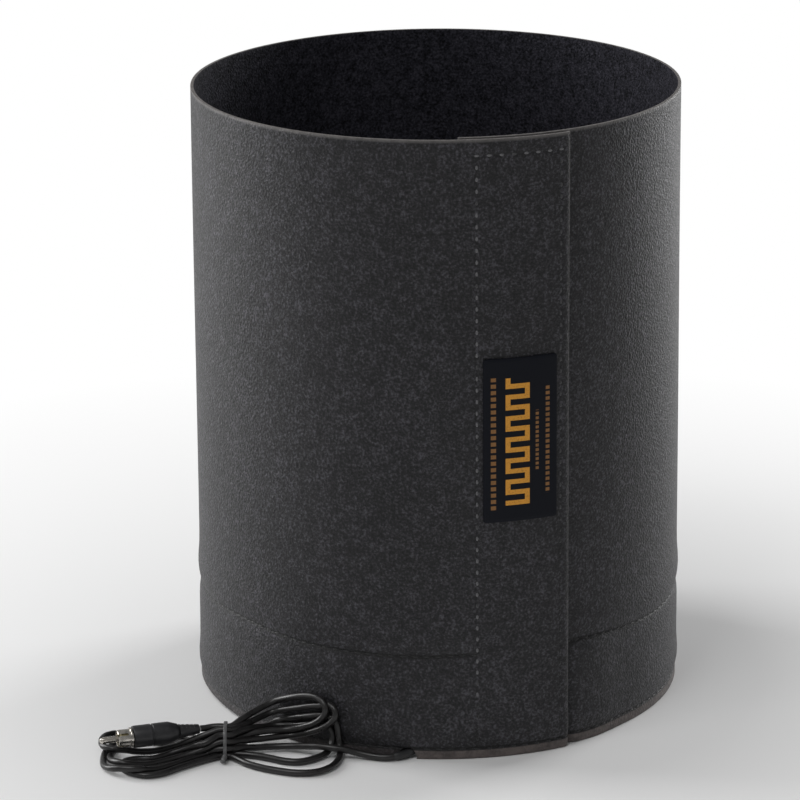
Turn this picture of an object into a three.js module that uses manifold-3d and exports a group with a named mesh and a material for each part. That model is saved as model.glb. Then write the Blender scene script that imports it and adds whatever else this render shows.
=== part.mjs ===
// Heated dew shield for a telescope: one sheet of pebbled plastic rolled into a tube and closed by
// hook and loop strips, with a heater sewn in a pocket round the inside of the base, and a thin
// low-voltage cord, folded in a hank, that ends in a phono plug.
// Millimetres, +Z up. The origin is on the tube's axis at the base, and the front faces -Y.
// Angles round the tube are in degrees from the front towards +X.
import * as THREE from 'three';
import { mergeVertices } from 'three/addons/utils/BufferGeometryUtils.js';
import Module from 'manifold-3d';

const wasm = await Module();
wasm.setup();

// The rolled sheet
const shieldDiameter = 235;
const shieldHeight = 300;
const sheetThickness = 1.6;
const baseFlare = 1;
const overlapWidth = 53;
const flapEdgeAngle = 30.2;
const facetAngle = 3;

// The hook and loop closure
const seatGap = 0.2;
const stripWidth = 49;
const stripEdgeMargin = 0.6;
const stripEndMargin = 1;
const hookThickness = 1;
const loopThickness = 1.2;

// Thread, which stands on the surface as a fine ridge
const threadWidth = 0.9;
const threadHeight = 0.5;
const stitchMargin = 4.5;
const topRowDrop = 7.6;
const bottomRowHeight = 4.6;

// The heater pocket
const upperSeamHeight = 51.5;
const lowerSeamHeight = 5;
const coverThickness = 0.9;
const coverHem = 3;
const coverSlope = 4;
const pocketDepth = 4.4;
const pocketEndMargin = 5;
const ribbonWidth = 30;
const ribbonThickness = 2.4;

// The patch on the flap
const patchWidth = 35;
const patchHeight = 79;
const patchThickness = 0.8;
const patchCornerRadius = 1.5;
const patchInset = 24.8;
const patchMiddleHeight = 157;

// The port in the base, and the sleeve that joins the cord to the heater
const portAngle = -7.5;
const portWidth = 9.2;
const portHeight = 5.4;
const sleeveDiameter = 4;
const sleeveClearance = 0.35;
// Each place is an angle, a lift above lying on the floor, and a distance out from the sheet
const sleeveRoute = [
  [-3.6, 9.9, -3.9],
  [-4.5, 6.2, -3.9],
  [-5.8, 2, -3.5],
  [-7.5, 0.4, -0.9],
  [-8.9, 0.2, 1.9],
  [-10.2, 0.1, 3.4],
];

// The cord, its hank and the wire tie, in places from the wall's foot where the sleeve ends
const cordDiameter = 3.2;
const cordSides = 8;
const meetingGap = 0.3;
const floorGap = 0.05;
// Each place is across, back, and a lift above lying on the floor
const cordRoute = [
  [-0.9, -3.45, 0.5],
  [-3.3, -4.1, 0.35],
  [-7.1, -3.7, 0.25],
  [-11.9, -2.4, 0.45],
  [-17.7, -1.2, 1.4],
  [-23.4, -1, 2.8],
];
const leftLobeOutline = [
  [-83.3, 13],
  [-104.7, 15.5],
  [-128.7, 12.5],
  [-139.7, 1.5],
  [-138.7, -14.5],
  [-126.7, -26.5],
  [-110.7, -25],
  [-94.7, -12.5],
  [-83.3, -3.5],
];
const rightLobeOutline = [
  [-77.9, -4],
  [-66.7, -14.5],
  [-52.7, -23],
  [-38.7, -24],
  [-28.2, -17],
  [-23.8, -2.5],
  [-25.7, 12.5],
  [-41.7, 23.5],
  [-62.7, 30.5],
  [-77.9, 11.5],
];
// The right lobe's top, seen from the side as back and height, and from the front as across and height
const rightLobeSideTop = [
  [-28, 3.5],
  [-5, 4.5],
  [8, 27.8],
  [60, 27.8],
];
const rightLobeFrontTop = [
  [-80, 13.8],
  [-67.7, 17],
  [-58.3, 21],
  [-47.7, 25.8],
  [-39.2, 27.8],
  [-33.2, 26.6],
  [-28.2, 23.5],
  [-26.2, 18],
  [-22, 12],
];
const waistLeft = -91.8;
const waistLength = 20;
const waistMiddle = 4.4;
const waistWidth = 15;
const waistBottom = 1.3;
const waistHeight = 12.5;
const tiePlace = -80.6;
const tieWidth = 1.7;
const tieThickness = 0.9;
const tieKnotLength = 4;
const tieKnotDiameter = 2.4;

// The phono plug, whose relief meets the waist of the hank
const plugBack = 7.8;
const plugHeading = 18;
const reliefLength = 9.9;
const reliefFrontDiameter = 7;
const reliefBackDiameter = 4.4;
const reliefSlotCount = 3;
const reliefSlotWidth = 0.8;
const reliefSlotDepth = 0.9;
const barrelDiameter = 10.6;
const barrelBackDiameter = 7.6;
const barrelLength = 22.2;
const barrelTaper = 4.5;
const barrelChamfer = 0.5;
const grooveDepth = 0.5;
const grooveWidth = 1;
const groovePlace = 9.2;
const shellDiameter = 8.4;
const shellWall = 0.5;
const shellLength = 7.2;
const shellFloor = 1.2;
const shellFlangeDiameter = 9.6;
const shellSlotCount = 4;
const shellSlotWidth = 1.1;
const shellSlotLength = 5;
const insulatorLength = 4.4;
const insulatorGap = 0.25;
const pinDiameter = 3.2;
const pinLength = 14.2;
const plugSegments = 24;

const sheetFinish = { color: 0x35353a, roughness: 0.75, metalness: 0 };
const hookFinish = { color: 0x17171a, roughness: 0.95, metalness: 0 };
const loopFinish = { color: 0x1c1c20, roughness: 1, metalness: 0 };
const coverFinish = { color: 0x141416, roughness: 1, metalness: 0 };
const ribbonFinish = { color: 0x8a4a26, roughness: 0.5, metalness: 0 };
const threadFinish = { color: 0x77777c, roughness: 0.8, metalness: 0 };
const patchFinish = { color: 0x1b2333, roughness: 0.5, metalness: 0 };
const sleeveFinish = { color: 0x101012, roughness: 0.5, metalness: 0 };
const cordFinish = { color: 0x1a1a1d, roughness: 0.4, metalness: 0 };
const tieFinish = { color: 0x202024, roughness: 0.35, metalness: 0 };
const plugFinish = { color: 0x141417, roughness: 0.4, metalness: 0 };
const nickelFinish = { color: 0xc9c4bc, roughness: 0.2, metalness: 1 };
const insulatorFinish = { color: 0x8c8557, roughness: 0.5, metalness: 0 };

// Sizes that follow from the ones above
const spiralStep = sheetThickness + loopThickness + hookThickness + 3 * seatGap;
const sheetStartAngle = flapEdgeAngle - arcAngle(overlapWidth);
const sheetEndAngle = flapEdgeAngle + 360;
const sheetMiddleAngle = (sheetStartAngle + sheetEndAngle) / 2;
const stripStartAngle = flapEdgeAngle - arcAngle(stripEdgeMargin + stripWidth);
const stripEndAngle = flapEdgeAngle - arcAngle(stripEdgeMargin);
const patchAngle = flapEdgeAngle - arcAngle(patchInset);
const stripTop = shieldHeight - topRowDrop + stitchMargin;
const coverTop = upperSeamHeight + coverHem;
const coverBottom = lowerSeamHeight - coverHem;
const coverFace = -sheetThickness - seatGap;
const coverStartAngle = sheetStartAngle + arcAngle(pocketEndMargin);
const coverEndAngle = sheetStartAngle + 360 - arcAngle(pocketEndMargin);
const seamStartAngle = flapEdgeAngle + arcAngle(seatGap);
const seamEndAngle = stripStartAngle + 360 + arcAngle(stitchMargin - threadWidth / 2 - seatGap);
const mouthAngle = sleeveRoute[sleeveRoute.length - 1][0] + 360;
const wallFoot = wallPoint(mouthAngle, 0, 0);
const leftLobeTop = 2 * cordDiameter;

function arcAngle(length) {
  return THREE.MathUtils.radToDeg(length / (shieldDiameter / 2));
}

// The sheet's outer face is a spiral that gains one step in a turn, so the flap clears the closure.
function wallRadius(angle) {
  return shieldDiameter / 2 + (spiralStep * (angle - sheetMiddleAngle)) / 360;
}

function flare(height) {
  return baseFlare * (1 - height / shieldHeight);
}

function wallPoint(angle, height, outward) {
  const radius = wallRadius(angle) + flare(height) + outward;
  const turn = THREE.MathUtils.degToRad(angle);
  return new THREE.Vector3(radius * Math.sin(turn), -radius * Math.cos(turn), height);
}

class WallCurve extends THREE.Curve {
  constructor(startAngle, endAngle) {
    super();
    this.startAngle = startAngle;
    this.endAngle = endAngle;
  }

  getPoint(t, target = new THREE.Vector3()) {
    const angle = THREE.MathUtils.lerp(this.startAngle, this.endAngle, t);
    return target.copy(wallPoint(angle, shieldHeight, 0)).setZ(0);
  }
}

// A section of height and distance out from the sheet, wrapped round the tube.
function wrapped(section, startAngle, endAngle) {
  const points = section.map(([height, outward]) => {
    return new THREE.Vector2(-height, -(outward + flare(height)));
  });
  const steps = Math.max(1, Math.round((endAngle - startAngle) / facetAngle));
  const extrudePath = new WallCurve(startAngle, endAngle);
  return new THREE.ExtrudeGeometry(new THREE.Shape(points), { steps, extrudePath });
}

function wallPanel({ bottom, top, inner, outer, start, end }) {
  const section = [
    [bottom, inner],
    [top, inner],
    [top, outer],
    [bottom, outer],
  ];
  return wrapped(section, start, end);
}

function toSolid(geometry) {
  const bare = geometry.index ? geometry.toNonIndexed() : geometry.clone();
  for (const name of Object.keys(bare.attributes)) {
    if (name !== 'position') {
      bare.deleteAttribute(name);
    }
  }
  const merged = mergeVertices(bare, 1e-4);
  const mesh = new wasm.Mesh({
    numProp: 3,
    vertProperties: new Float32Array(merged.attributes.position.array),
    triVerts: new Uint32Array(realTriangles(merged.index.array)),
  });
  return new wasm.Manifold(mesh);
}

// The triangles that still have three corners once doubled points are merged.
function realTriangles(corners) {
  const kept = [];
  for (let i = 0; i < corners.length; i += 3) {
    const [a, b, c] = [corners[i], corners[i + 1], corners[i + 2]];
    if (a !== b && b !== c && c !== a) {
      kept.push(a, b, c);
    }
  }
  return kept;
}

function toGeometry(solid) {
  const mesh = solid.getMesh();
  const geometry = new THREE.BufferGeometry();
  geometry.setAttribute('position', new THREE.BufferAttribute(mesh.vertProperties, 3));
  geometry.setIndex(new THREE.BufferAttribute(mesh.triVerts, 1));
  geometry.computeVertexNormals();
  return geometry;
}

function joined(...geometries) {
  return toGeometry(geometries.map(toSolid).reduce((whole, solid) => whole.add(solid)));
}

function cut(geometry, ...tools) {
  return toGeometry(tools.map(toSolid).reduce((rest, solid) => rest.subtract(solid), toSolid(geometry)));
}

function common(...geometries) {
  return toGeometry(geometries.map(toSolid).reduce((whole, solid) => whole.intersect(solid)));
}

function polygon(points) {
  return new THREE.Shape(points.map(([x, y]) => new THREE.Vector2(x, y)));
}

function circle(radius, sides) {
  const corners = Array.from({ length: sides }, (_, i) => {
    const turn = (2 * Math.PI * i) / sides;
    return [radius * Math.cos(turn), radius * Math.sin(turn)];
  });
  return polygon(corners);
}

function tube(points, diameter, sides, steps) {
  const extrudePath = new THREE.CatmullRomCurve3(points);
  return new THREE.ExtrudeGeometry(circle(diameter / 2, sides), { steps, extrudePath });
}

function prism(shape, length) {
  return new THREE.ExtrudeGeometry(shape, { depth: length, bevelEnabled: false, curveSegments: 8 });
}

function roundedRectangle(width, height, radius, cornerSteps = 4) {
  const corners = [];
  for (let quarter = 0; quarter < 4; quarter += 1) {
    const x = (width / 2 - radius) * (quarter === 0 || quarter === 3 ? 1 : -1);
    const y = (height / 2 - radius) * (quarter < 2 ? 1 : -1);
    for (let i = 0; i <= cornerSteps; i += 1) {
      const turn = (Math.PI / 2) * (quarter + i / cornerSteps);
      corners.push([x + radius * Math.cos(turn), y + radius * Math.sin(turn)]);
    }
  }
  return polygon(corners);
}

// A closed outline through a few places, with smooth round ends.
function smoothOutline(places, divisions = 40) {
  const points = places.map(([x, y]) => new THREE.Vector3(x, y, 0));
  const curve = new THREE.CatmullRomCurve3(points, true, 'centripetal');
  const rim = curve.getSpacedPoints(divisions).slice(0, divisions);
  return polygon(rim.map((point) => [point.x, point.y]));
}

// A shape that faces out at an angle, driven through the wall there.
function throughWall(shape, angle, height) {
  const depth = shieldDiameter / 4;
  const geometry = prism(shape, depth);
  geometry.translate(0, 0, -depth / 2);
  geometry.rotateX(Math.PI / 2);
  geometry.translate(0, -wallRadius(angle), height);
  return geometry.rotateZ(THREE.MathUtils.degToRad(angle));
}

function portArch() {
  const half = portWidth / 2;
  const shape = new THREE.Shape();
  shape.moveTo(-half, -half);
  shape.lineTo(half, -half);
  shape.absarc(0, portHeight - half, half, 0, Math.PI);
  return shape;
}

function shieldSheet() {
  const wall = wallPanel({
    bottom: 0,
    top: shieldHeight,
    inner: -sheetThickness,
    outer: 0,
    start: sheetStartAngle,
    end: sheetEndAngle,
  });
  return cut(wall, throughWall(portArch(), portAngle + 360, 0), sleeve(sleeveClearance));
}

function hookStrip() {
  return wallPanel({
    bottom: stripEndMargin,
    top: stripTop,
    inner: -sheetThickness - seatGap - hookThickness,
    outer: -sheetThickness - seatGap,
    start: stripStartAngle + 360,
    end: stripEndAngle + 360,
  });
}

function loopStrip() {
  return wallPanel({
    bottom: stripEndMargin,
    top: stripTop,
    inner: seatGap,
    outer: seatGap + loopThickness,
    start: stripStartAngle,
    end: stripEndAngle,
  });
}

// A frame of stitching round a strip, on the face whose distance out is given.
function boxStitching(turn, bottomRow, inner, outer) {
  const half = threadWidth / 2;
  const halfAngle = arcAngle(half);
  const leftRow = turn + stripStartAngle + arcAngle(stitchMargin);
  const rightRow = turn + stripEndAngle - arcAngle(stitchMargin);
  const topRow = shieldHeight - topRowDrop;
  const whole = wallPanel({
    bottom: bottomRow - half,
    top: topRow + half,
    inner,
    outer,
    start: leftRow - halfAngle,
    end: rightRow + halfAngle,
  });
  const window = wallPanel({
    bottom: bottomRow + half,
    top: topRow - half,
    inner: inner - seatGap,
    outer: outer + seatGap,
    start: leftRow + halfAngle,
    end: rightRow - halfAngle,
  });
  return cut(whole, window);
}

function hookStitching() {
  return boxStitching(360, bottomRowHeight, seatGap, seatGap + threadHeight);
}

// Inside the tube the cover hides the lower end of the loop strip's stitching.
function loopStitching() {
  return boxStitching(0, coverTop + stitchMargin / 2, coverFace - threadHeight, coverFace);
}

function seam(height, start, end) {
  return wallPanel({
    bottom: height - threadWidth / 2,
    top: height + threadWidth / 2,
    inner: seatGap,
    outer: seatGap + threadHeight,
    start,
    end,
  });
}

// The cover lies flat at its two hems and stands in from the sheet between them.
function heaterCover() {
  const hemTop = coverTop - 2 * coverHem;
  const hemBottom = coverBottom + 2 * coverHem;
  const outerFace = [
    [coverBottom, coverFace],
    [hemBottom, coverFace],
    [hemBottom + coverSlope, coverFace - pocketDepth],
    [hemTop - coverSlope, coverFace - pocketDepth],
    [hemTop, coverFace],
    [coverTop, coverFace],
  ];
  const innerFace = outerFace.map(([height, outward]) => [height, outward - coverThickness]);
  const section = [...outerFace, ...innerFace.reverse()];
  return cut(wrapped(section, coverStartAngle, coverEndAngle), sleeve(sleeveClearance));
}

function heaterRibbon() {
  const middle = (coverBottom + coverTop) / 2;
  const inner = coverFace - pocketDepth + seatGap;
  return wallPanel({
    bottom: middle - ribbonWidth / 2,
    top: middle + ribbonWidth / 2,
    inner,
    outer: inner + ribbonThickness,
    start: coverStartAngle,
    end: coverEndAngle,
  });
}

function flapPatch() {
  const layer = wallPanel({
    bottom: patchMiddleHeight - patchHeight,
    top: patchMiddleHeight + patchHeight,
    inner: seatGap,
    outer: seatGap + patchThickness,
    start: patchAngle + 360 - arcAngle(patchWidth),
    end: patchAngle + 360 + arcAngle(patchWidth),
  });
  const outline = roundedRectangle(patchWidth, patchHeight, patchCornerRadius);
  return common(layer, throughWall(outline, patchAngle + 360, patchMiddleHeight));
}

function sleeve(clearance = 0) {
  const points = sleeveRoute.map(([angle, lift, outward]) => {
    return wallPoint(angle + 360, lift + sleeveDiameter / 2, outward);
  });
  return tube(points, sleeveDiameter + 2 * clearance, 12, 14);
}

function cordLead() {
  const points = cordRoute.map(([x, y, lift]) => {
    return new THREE.Vector3(x, y, lift + cordDiameter / 2).add(wallFoot);
  });
  return tube(points, cordDiameter, cordSides, 7);
}

// The hank's outer shape: a low lobe under the plug, the waist that the tie holds, and a lobe
// whose loops climb the wall of the tube.
function cordHank() {
  const leftLobe = prism(smoothOutline(leftLobeOutline), leftLobeTop - floorGap);
  leftLobe.translate(0, 0, floorGap);
  const outline = roundedRectangle(waistWidth, waistHeight, waistWidth / 4);
  const waist = alongX(outline, waistLeft, waistLength);
  waist.translate(0, waistMiddle, waistBottom + waistHeight / 2);
  const hank = joined(leftLobe, waist, rightLobe());
  return hank.translate(wallFoot.x, wallFoot.y, 0);
}

function rightLobe() {
  const [left, right] = [rightLobeFrontTop[0][0], rightLobeFrontTop[rightLobeFrontTop.length - 1][0]];
  const [front, back] = [rightLobeSideTop[0][0], rightLobeSideTop[rightLobeSideTop.length - 1][0]];
  const block = prism(smoothOutline(rightLobeOutline), shieldHeight).translate(0, 0, floorGap);
  const sideShape = polygon([...rightLobeSideTop, [back, -1], [front, -1]].reverse());
  const underSide = alongX(sideShape, left, right - left);
  const frontShape = polygon([...rightLobeFrontTop, [right, -1], [left, -1]].reverse());
  const underFront = prism(frontShape, back - front).rotateX(Math.PI / 2).translate(0, back, 0);
  const wallReach = wallRadius(mouthAngle) + baseFlare + seatGap + threadHeight + meetingGap;
  const wallFace = prism(circle(wallReach, 120), shieldHeight + 2);
  wallFace.translate(-wallFoot.x, -wallFoot.y, -1);
  return cut(common(block, underSide, underFront), wallFace);
}

// A shape in the YZ plane, extruded along X from its start.
function alongX(shape, start, length) {
  const geometry = prism(shape, length);
  geometry.rotateX(Math.PI / 2);
  geometry.rotateZ(Math.PI / 2);
  return geometry.translate(start, 0, 0);
}

function hankTie() {
  const inner = 2 * meetingGap;
  const outer = inner + 2 * tieThickness;
  const shape = roundedRectangle(waistWidth + outer, waistHeight + outer, (waistWidth + outer) / 4);
  shape.holes.push(roundedRectangle(waistWidth + inner, waistHeight + inner, (waistWidth + inner) / 4));
  const ring = alongX(shape, tiePlace - tieWidth / 2, tieWidth);
  ring.translate(0, waistMiddle, waistBottom + waistHeight / 2);
  const knot = prism(circle(tieKnotDiameter / 2, 10), tieKnotLength + tieThickness / 2);
  knot.rotateX(Math.PI / 2);
  const ringFront = waistMiddle - waistWidth / 2 - meetingGap - tieThickness / 2;
  knot.translate(tiePlace, ringFront, waistBottom + waistHeight / 3);
  return joined(ring, knot).translate(wallFoot.x, wallFoot.y, 0);
}

// Solids of the plug are turned about its axis, with the barrel's front face at zero.
function turned(profile) {
  const points = profile.map(([radius, place]) => new THREE.Vector2(radius, place));
  return new THREE.LatheGeometry(points, plugSegments);
}

function placedOnPlug(geometry) {
  const heading = THREE.MathUtils.degToRad(plugHeading);
  const reach = meetingGap + (reliefBackDiameter / 2) * Math.sin(heading);
  const reliefEnd = new THREE.Vector3(waistLeft - reach, plugBack, leftLobeTop + meetingGap);
  const toFront = reliefLength + meetingGap + barrelLength;
  const front = new THREE.Vector3(-Math.cos(heading), -Math.sin(heading), 0).multiplyScalar(toFront);
  geometry.rotateZ(Math.PI / 2);
  geometry.rotateZ(heading);
  geometry.translate(reliefEnd.x + front.x, reliefEnd.y + front.y, reliefEnd.z + barrelDiameter / 2);
  return geometry.translate(wallFoot.x, wallFoot.y, 0);
}

function plugBarrel() {
  const radius = barrelDiameter / 2;
  const bottom = radius - grooveDepth;
  const profile = [
    [0, -barrelLength],
    [barrelBackDiameter / 2, -barrelLength],
    [radius, barrelTaper - barrelLength],
    [radius, -groovePlace - grooveWidth / 2],
    [bottom, -groovePlace - grooveWidth / 4],
    [bottom, -groovePlace + grooveWidth / 4],
    [radius, -groovePlace + grooveWidth / 2],
    [radius, -barrelChamfer],
    [radius - barrelChamfer, 0],
    [0, 0],
  ];
  return placedOnPlug(turned(profile));
}

// The relief narrows to the cord, with slots in turn across its two sides.
function plugRelief() {
  const front = -barrelLength - meetingGap;
  const back = front - reliefLength;
  const cone = turned([
    [0, back],
    [reliefBackDiameter / 2, back],
    [reliefFrontDiameter / 2, front],
    [0, front],
  ]);
  const pitch = reliefLength / (reliefSlotCount + 1);
  const slots = Array.from({ length: 2 * reliefSlotCount }, (_, i) => {
    const side = i % 2 === 0 ? 1 : -1;
    const place = front - pitch * (Math.floor(i / 2) + 0.75);
    const radiusHere = THREE.MathUtils.mapLinear(
      place,
      front,
      back,
      reliefFrontDiameter / 2,
      reliefBackDiameter / 2,
    );
    const slot = new THREE.BoxGeometry(reliefFrontDiameter, reliefSlotWidth, reliefFrontDiameter);
    return slot.translate(side * (radiusHere - reliefSlotDepth + reliefFrontDiameter / 2), place, 0);
  });
  return placedOnPlug(cut(cone, ...slots));
}

function plugShell() {
  const radius = shellDiameter / 2;
  const cup = turned([
    [0, meetingGap],
    [shellFlangeDiameter / 2, meetingGap],
    [shellFlangeDiameter / 2, meetingGap + shellFloor],
    [radius, meetingGap + shellFloor],
    [radius, meetingGap + shellLength],
    [radius - shellWall, meetingGap + shellLength],
    [radius - shellWall, meetingGap + shellFloor],
    [0, meetingGap + shellFloor],
  ]);
  const slots = Array.from({ length: shellSlotCount }, (_, i) => {
    const slot = new THREE.BoxGeometry(shellDiameter, shellSlotLength, shellSlotWidth);
    slot.translate(shellDiameter / 2, meetingGap + shellLength - shellSlotLength / 2 + 0.5, 0);
    return slot.rotateY((2 * Math.PI * (i + 0.5)) / shellSlotCount);
  });
  return placedOnPlug(cut(cup, ...slots));
}

function plugInsulator() {
  const start = 2 * meetingGap + shellFloor;
  const outer = shellDiameter / 2 - shellWall - insulatorGap;
  const inner = pinDiameter / 2 + insulatorGap;
  const ring = turned([
    [inner, start],
    [outer, start],
    [outer, start + insulatorLength],
    [inner, start + insulatorLength],
    [inner, start],
  ]);
  return placedOnPlug(toGeometry(toSolid(ring)));
}

function plugPin() {
  const radius = pinDiameter / 2;
  const start = 2 * meetingGap + shellFloor;
  const profile = [
    [0, start],
    [radius, start],
    [radius, start + pinLength - radius],
    [0.87 * radius, start + pinLength - radius / 2],
    [radius / 2, start + pinLength - 0.13 * radius],
    [0, start + pinLength],
  ];
  return placedOnPlug(turned(profile));
}

const group = new THREE.Group();
group.name = 'heated_dew_shield';

function add(name, geometry, finish) {
  const mesh = new THREE.Mesh(geometry, new THREE.MeshStandardMaterial(finish));
  mesh.name = name;
  group.add(mesh);
}

const portEdge = arcAngle(portWidth / 2 + 2.5);
add('shield_sheet', shieldSheet(), sheetFinish);
add('hook_strip', hookStrip(), hookFinish);
add('loop_strip', loopStrip(), loopFinish);
add('hook_stitching', hookStitching(), threadFinish);
add('loop_stitching', loopStitching(), threadFinish);
add('heater_cover', heaterCover(), coverFinish);
add('heater_ribbon', heaterRibbon(), ribbonFinish);
add('upper_seam', seam(upperSeamHeight, seamStartAngle, seamEndAngle), threadFinish);
add('lower_seam', seam(lowerSeamHeight, seamStartAngle, portAngle + 360 - portEdge), threadFinish);
add('lower_seam_end', seam(lowerSeamHeight, portAngle + 360 + portEdge, seamEndAngle), threadFinish);
add('flap_patch', flapPatch(), patchFinish);
add('exit_sleeve', sleeve(), sleeveFinish);
add('cord_lead', cordLead(), cordFinish);
add('cord_hank', cordHank(), cordFinish);
add('hank_tie', hankTie(), tieFinish);
add('plug_relief', plugRelief(), plugFinish);
add('plug_barrel', plugBarrel(), plugFinish);
add('plug_shell', plugShell(), nickelFinish);
add('plug_insulator', plugInsulator(), insulatorFinish);
add('plug_pin', plugPin(), nickelFinish);

export default group;
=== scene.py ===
"""Looks of a heated dew shield: a rolled sheet, its heater pocket, its closure and its cord."""

import logging
import math
from dataclasses import dataclass, field
from enum import Enum

import bmesh
import bpy
from mathutils import Matrix, Vector


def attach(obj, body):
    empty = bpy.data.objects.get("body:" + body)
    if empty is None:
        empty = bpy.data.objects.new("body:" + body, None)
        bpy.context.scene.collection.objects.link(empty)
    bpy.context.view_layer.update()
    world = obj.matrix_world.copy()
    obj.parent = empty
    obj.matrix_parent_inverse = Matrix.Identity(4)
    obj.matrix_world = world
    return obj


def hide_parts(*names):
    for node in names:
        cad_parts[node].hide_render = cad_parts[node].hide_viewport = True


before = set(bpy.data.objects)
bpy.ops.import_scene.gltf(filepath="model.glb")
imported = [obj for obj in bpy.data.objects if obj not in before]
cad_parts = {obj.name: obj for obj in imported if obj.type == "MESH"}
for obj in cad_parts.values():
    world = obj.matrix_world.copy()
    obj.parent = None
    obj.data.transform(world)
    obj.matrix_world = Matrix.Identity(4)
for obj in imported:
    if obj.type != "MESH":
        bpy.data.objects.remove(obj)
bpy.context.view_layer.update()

log = logging.getLogger("dew_shield")

MM = 0.001

# The tube's radius and its flap's overlap in millimetres, and the flap's edge in degrees.
TUBE_RADIUS = 117.5
OVERLAP = 53.0
FLAP_EDGE = 30.2

Colour = tuple[float, float, float]
Socket = bpy.types.NodeSocket
Spot = tuple[float, float, float, float]


# Modelling helpers


def select_only(*pieces: bpy.types.Object) -> None:
    """Selects these pieces alone, with the first one active.

    Args:
        pieces: The objects to select.
    """
    if bpy.context.object and bpy.context.object.mode != "OBJECT":
        bpy.ops.object.mode_set(mode="OBJECT")
    bpy.ops.object.select_all(action="DESELECT")
    for piece in pieces:
        piece.select_set(True)
    bpy.context.view_layer.objects.active = pieces[0] if pieces else None


def apply_modifiers(piece: bpy.types.Object) -> None:
    """Applies all of a piece's modifiers, in order."""
    select_only(piece)
    for modifier in list(piece.modifiers):
        bpy.ops.object.modifier_apply(modifier=modifier.name)


def smooth(piece: bpy.types.Object, angle: float = 35.0) -> None:
    """Shades a piece smooth, apart from edges sharper than an angle in degrees."""
    select_only(piece)
    bpy.ops.object.shade_smooth_by_angle(angle=math.radians(angle))


def cut_out(piece: bpy.types.Object, *cutters: bpy.types.Object) -> None:
    """Takes the cutters' shapes out of a piece and removes the cutters.

    Args:
        piece: The object that is cut.
        cutters: The closed objects that are taken away.
    """
    for cutter in cutters:
        difference = piece.modifiers.new("cut", "BOOLEAN")
        difference.operation = "DIFFERENCE"
        difference.solver = "EXACT"
        difference.object = cutter
    apply_modifiers(piece)
    for cutter in cutters:
        bpy.data.objects.remove(cutter)


def join(name: str, pieces: list[bpy.types.Object]) -> bpy.types.Object:
    """Joins several meshes into one object.

    Args:
        name: The joined object's name.
        pieces: The meshes, the first of which keeps its materials first.

    Returns:
        The joined object.
    """
    select_only(*pieces)
    if len(pieces) > 1:
        bpy.ops.object.join()
    whole = bpy.context.object
    whole.name = name
    return whole


def tidy_normals(piece: bpy.types.Object, distance: float = 0.01 * MM) -> None:
    """Merges doubled points and points all faces outwards.

    Args:
        piece: The mesh.
        distance: How close two points are to be merged, in metres.
    """
    select_only(piece)
    bpy.ops.object.mode_set(mode="EDIT")
    bpy.ops.mesh.select_all(action="SELECT")
    bpy.ops.mesh.remove_doubles(threshold=distance)
    bpy.ops.mesh.normals_make_consistent(inside=False)
    bpy.ops.object.mode_set(mode="OBJECT")


def catmull_rom(points: list[Vector], step: float) -> list[Vector]:
    """A smooth line through points, sampled at about equal steps.

    Args:
        points: The places that the line goes through.
        step: The distance between samples, in metres.

    Returns:
        The samples, from the first point to the last.
    """
    ends = [2 * points[0] - points[1], *points, 2 * points[-1] - points[-2]]
    line = [points[0].copy()]
    for before, start, end, after in zip(ends, ends[1:], ends[2:], ends[3:]):
        knots = [0.0]
        for a, b in ((before, start), (start, end), (end, after)):
            knots.append(knots[-1] + max(1e-6, (b - a).length) ** 0.5)
        count = max(1, round((end - start).length / step))
        for i in range(1, count + 1):
            t = knots[1] + (knots[2] - knots[1]) * i / count
            a1 = before.lerp(start, t / knots[1])
            a2 = start.lerp(end, (t - knots[1]) / (knots[2] - knots[1]))
            a3 = end.lerp(after, (t - knots[2]) / (knots[3] - knots[2]))
            b1 = a1.lerp(a2, t / knots[2])
            b2 = a2.lerp(a3, (t - knots[1]) / (knots[3] - knots[1]))
            line.append(b1.lerp(b2, (t - knots[1]) / (knots[2] - knots[1])))
    return line


def cord_curve(name: str, line: list[Vector], diameter: float, sides: int = 4) -> bpy.types.Object:
    """A round cord along a line, as a curve of one open spline.

    Args:
        name: The object's name.
        line: The points of the centreline.
        diameter: The cord's diameter, in metres.
        sides: The bevel's resolution.

    Returns:
        The curve object, whose own line is the cord's centreline.
    """
    data = bpy.data.curves.new(name, "CURVE")
    data.dimensions = "3D"
    data.bevel_depth = diameter / 2
    data.bevel_resolution = sides
    data.use_fill_caps = True
    spline = data.splines.new("POLY")
    spline.points.add(len(line) - 1)
    for point, place in zip(spline.points, line):
        point.co = (*place, 1.0)
    spline.use_smooth = True
    piece = bpy.data.objects.new(name, data)
    bpy.context.scene.collection.objects.link(piece)
    return piece


def to_mesh(piece: bpy.types.Object) -> bpy.types.Object:
    """Turns a curve into a mesh."""
    select_only(piece)
    bpy.ops.object.convert(target="MESH")
    return bpy.context.object


def bell(value: float, middle: float, width: float) -> float:
    """A bell curve of height one."""
    return math.exp(-(((value - middle) / width) ** 2))


def ramp(value: float, start: float, end: float) -> float:
    """A smooth step from zero at start to one at end."""
    t = min(1.0, max(0.0, (value - start) / (end - start)))
    return t * t * (3 - 2 * t)


# Finishes


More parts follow.
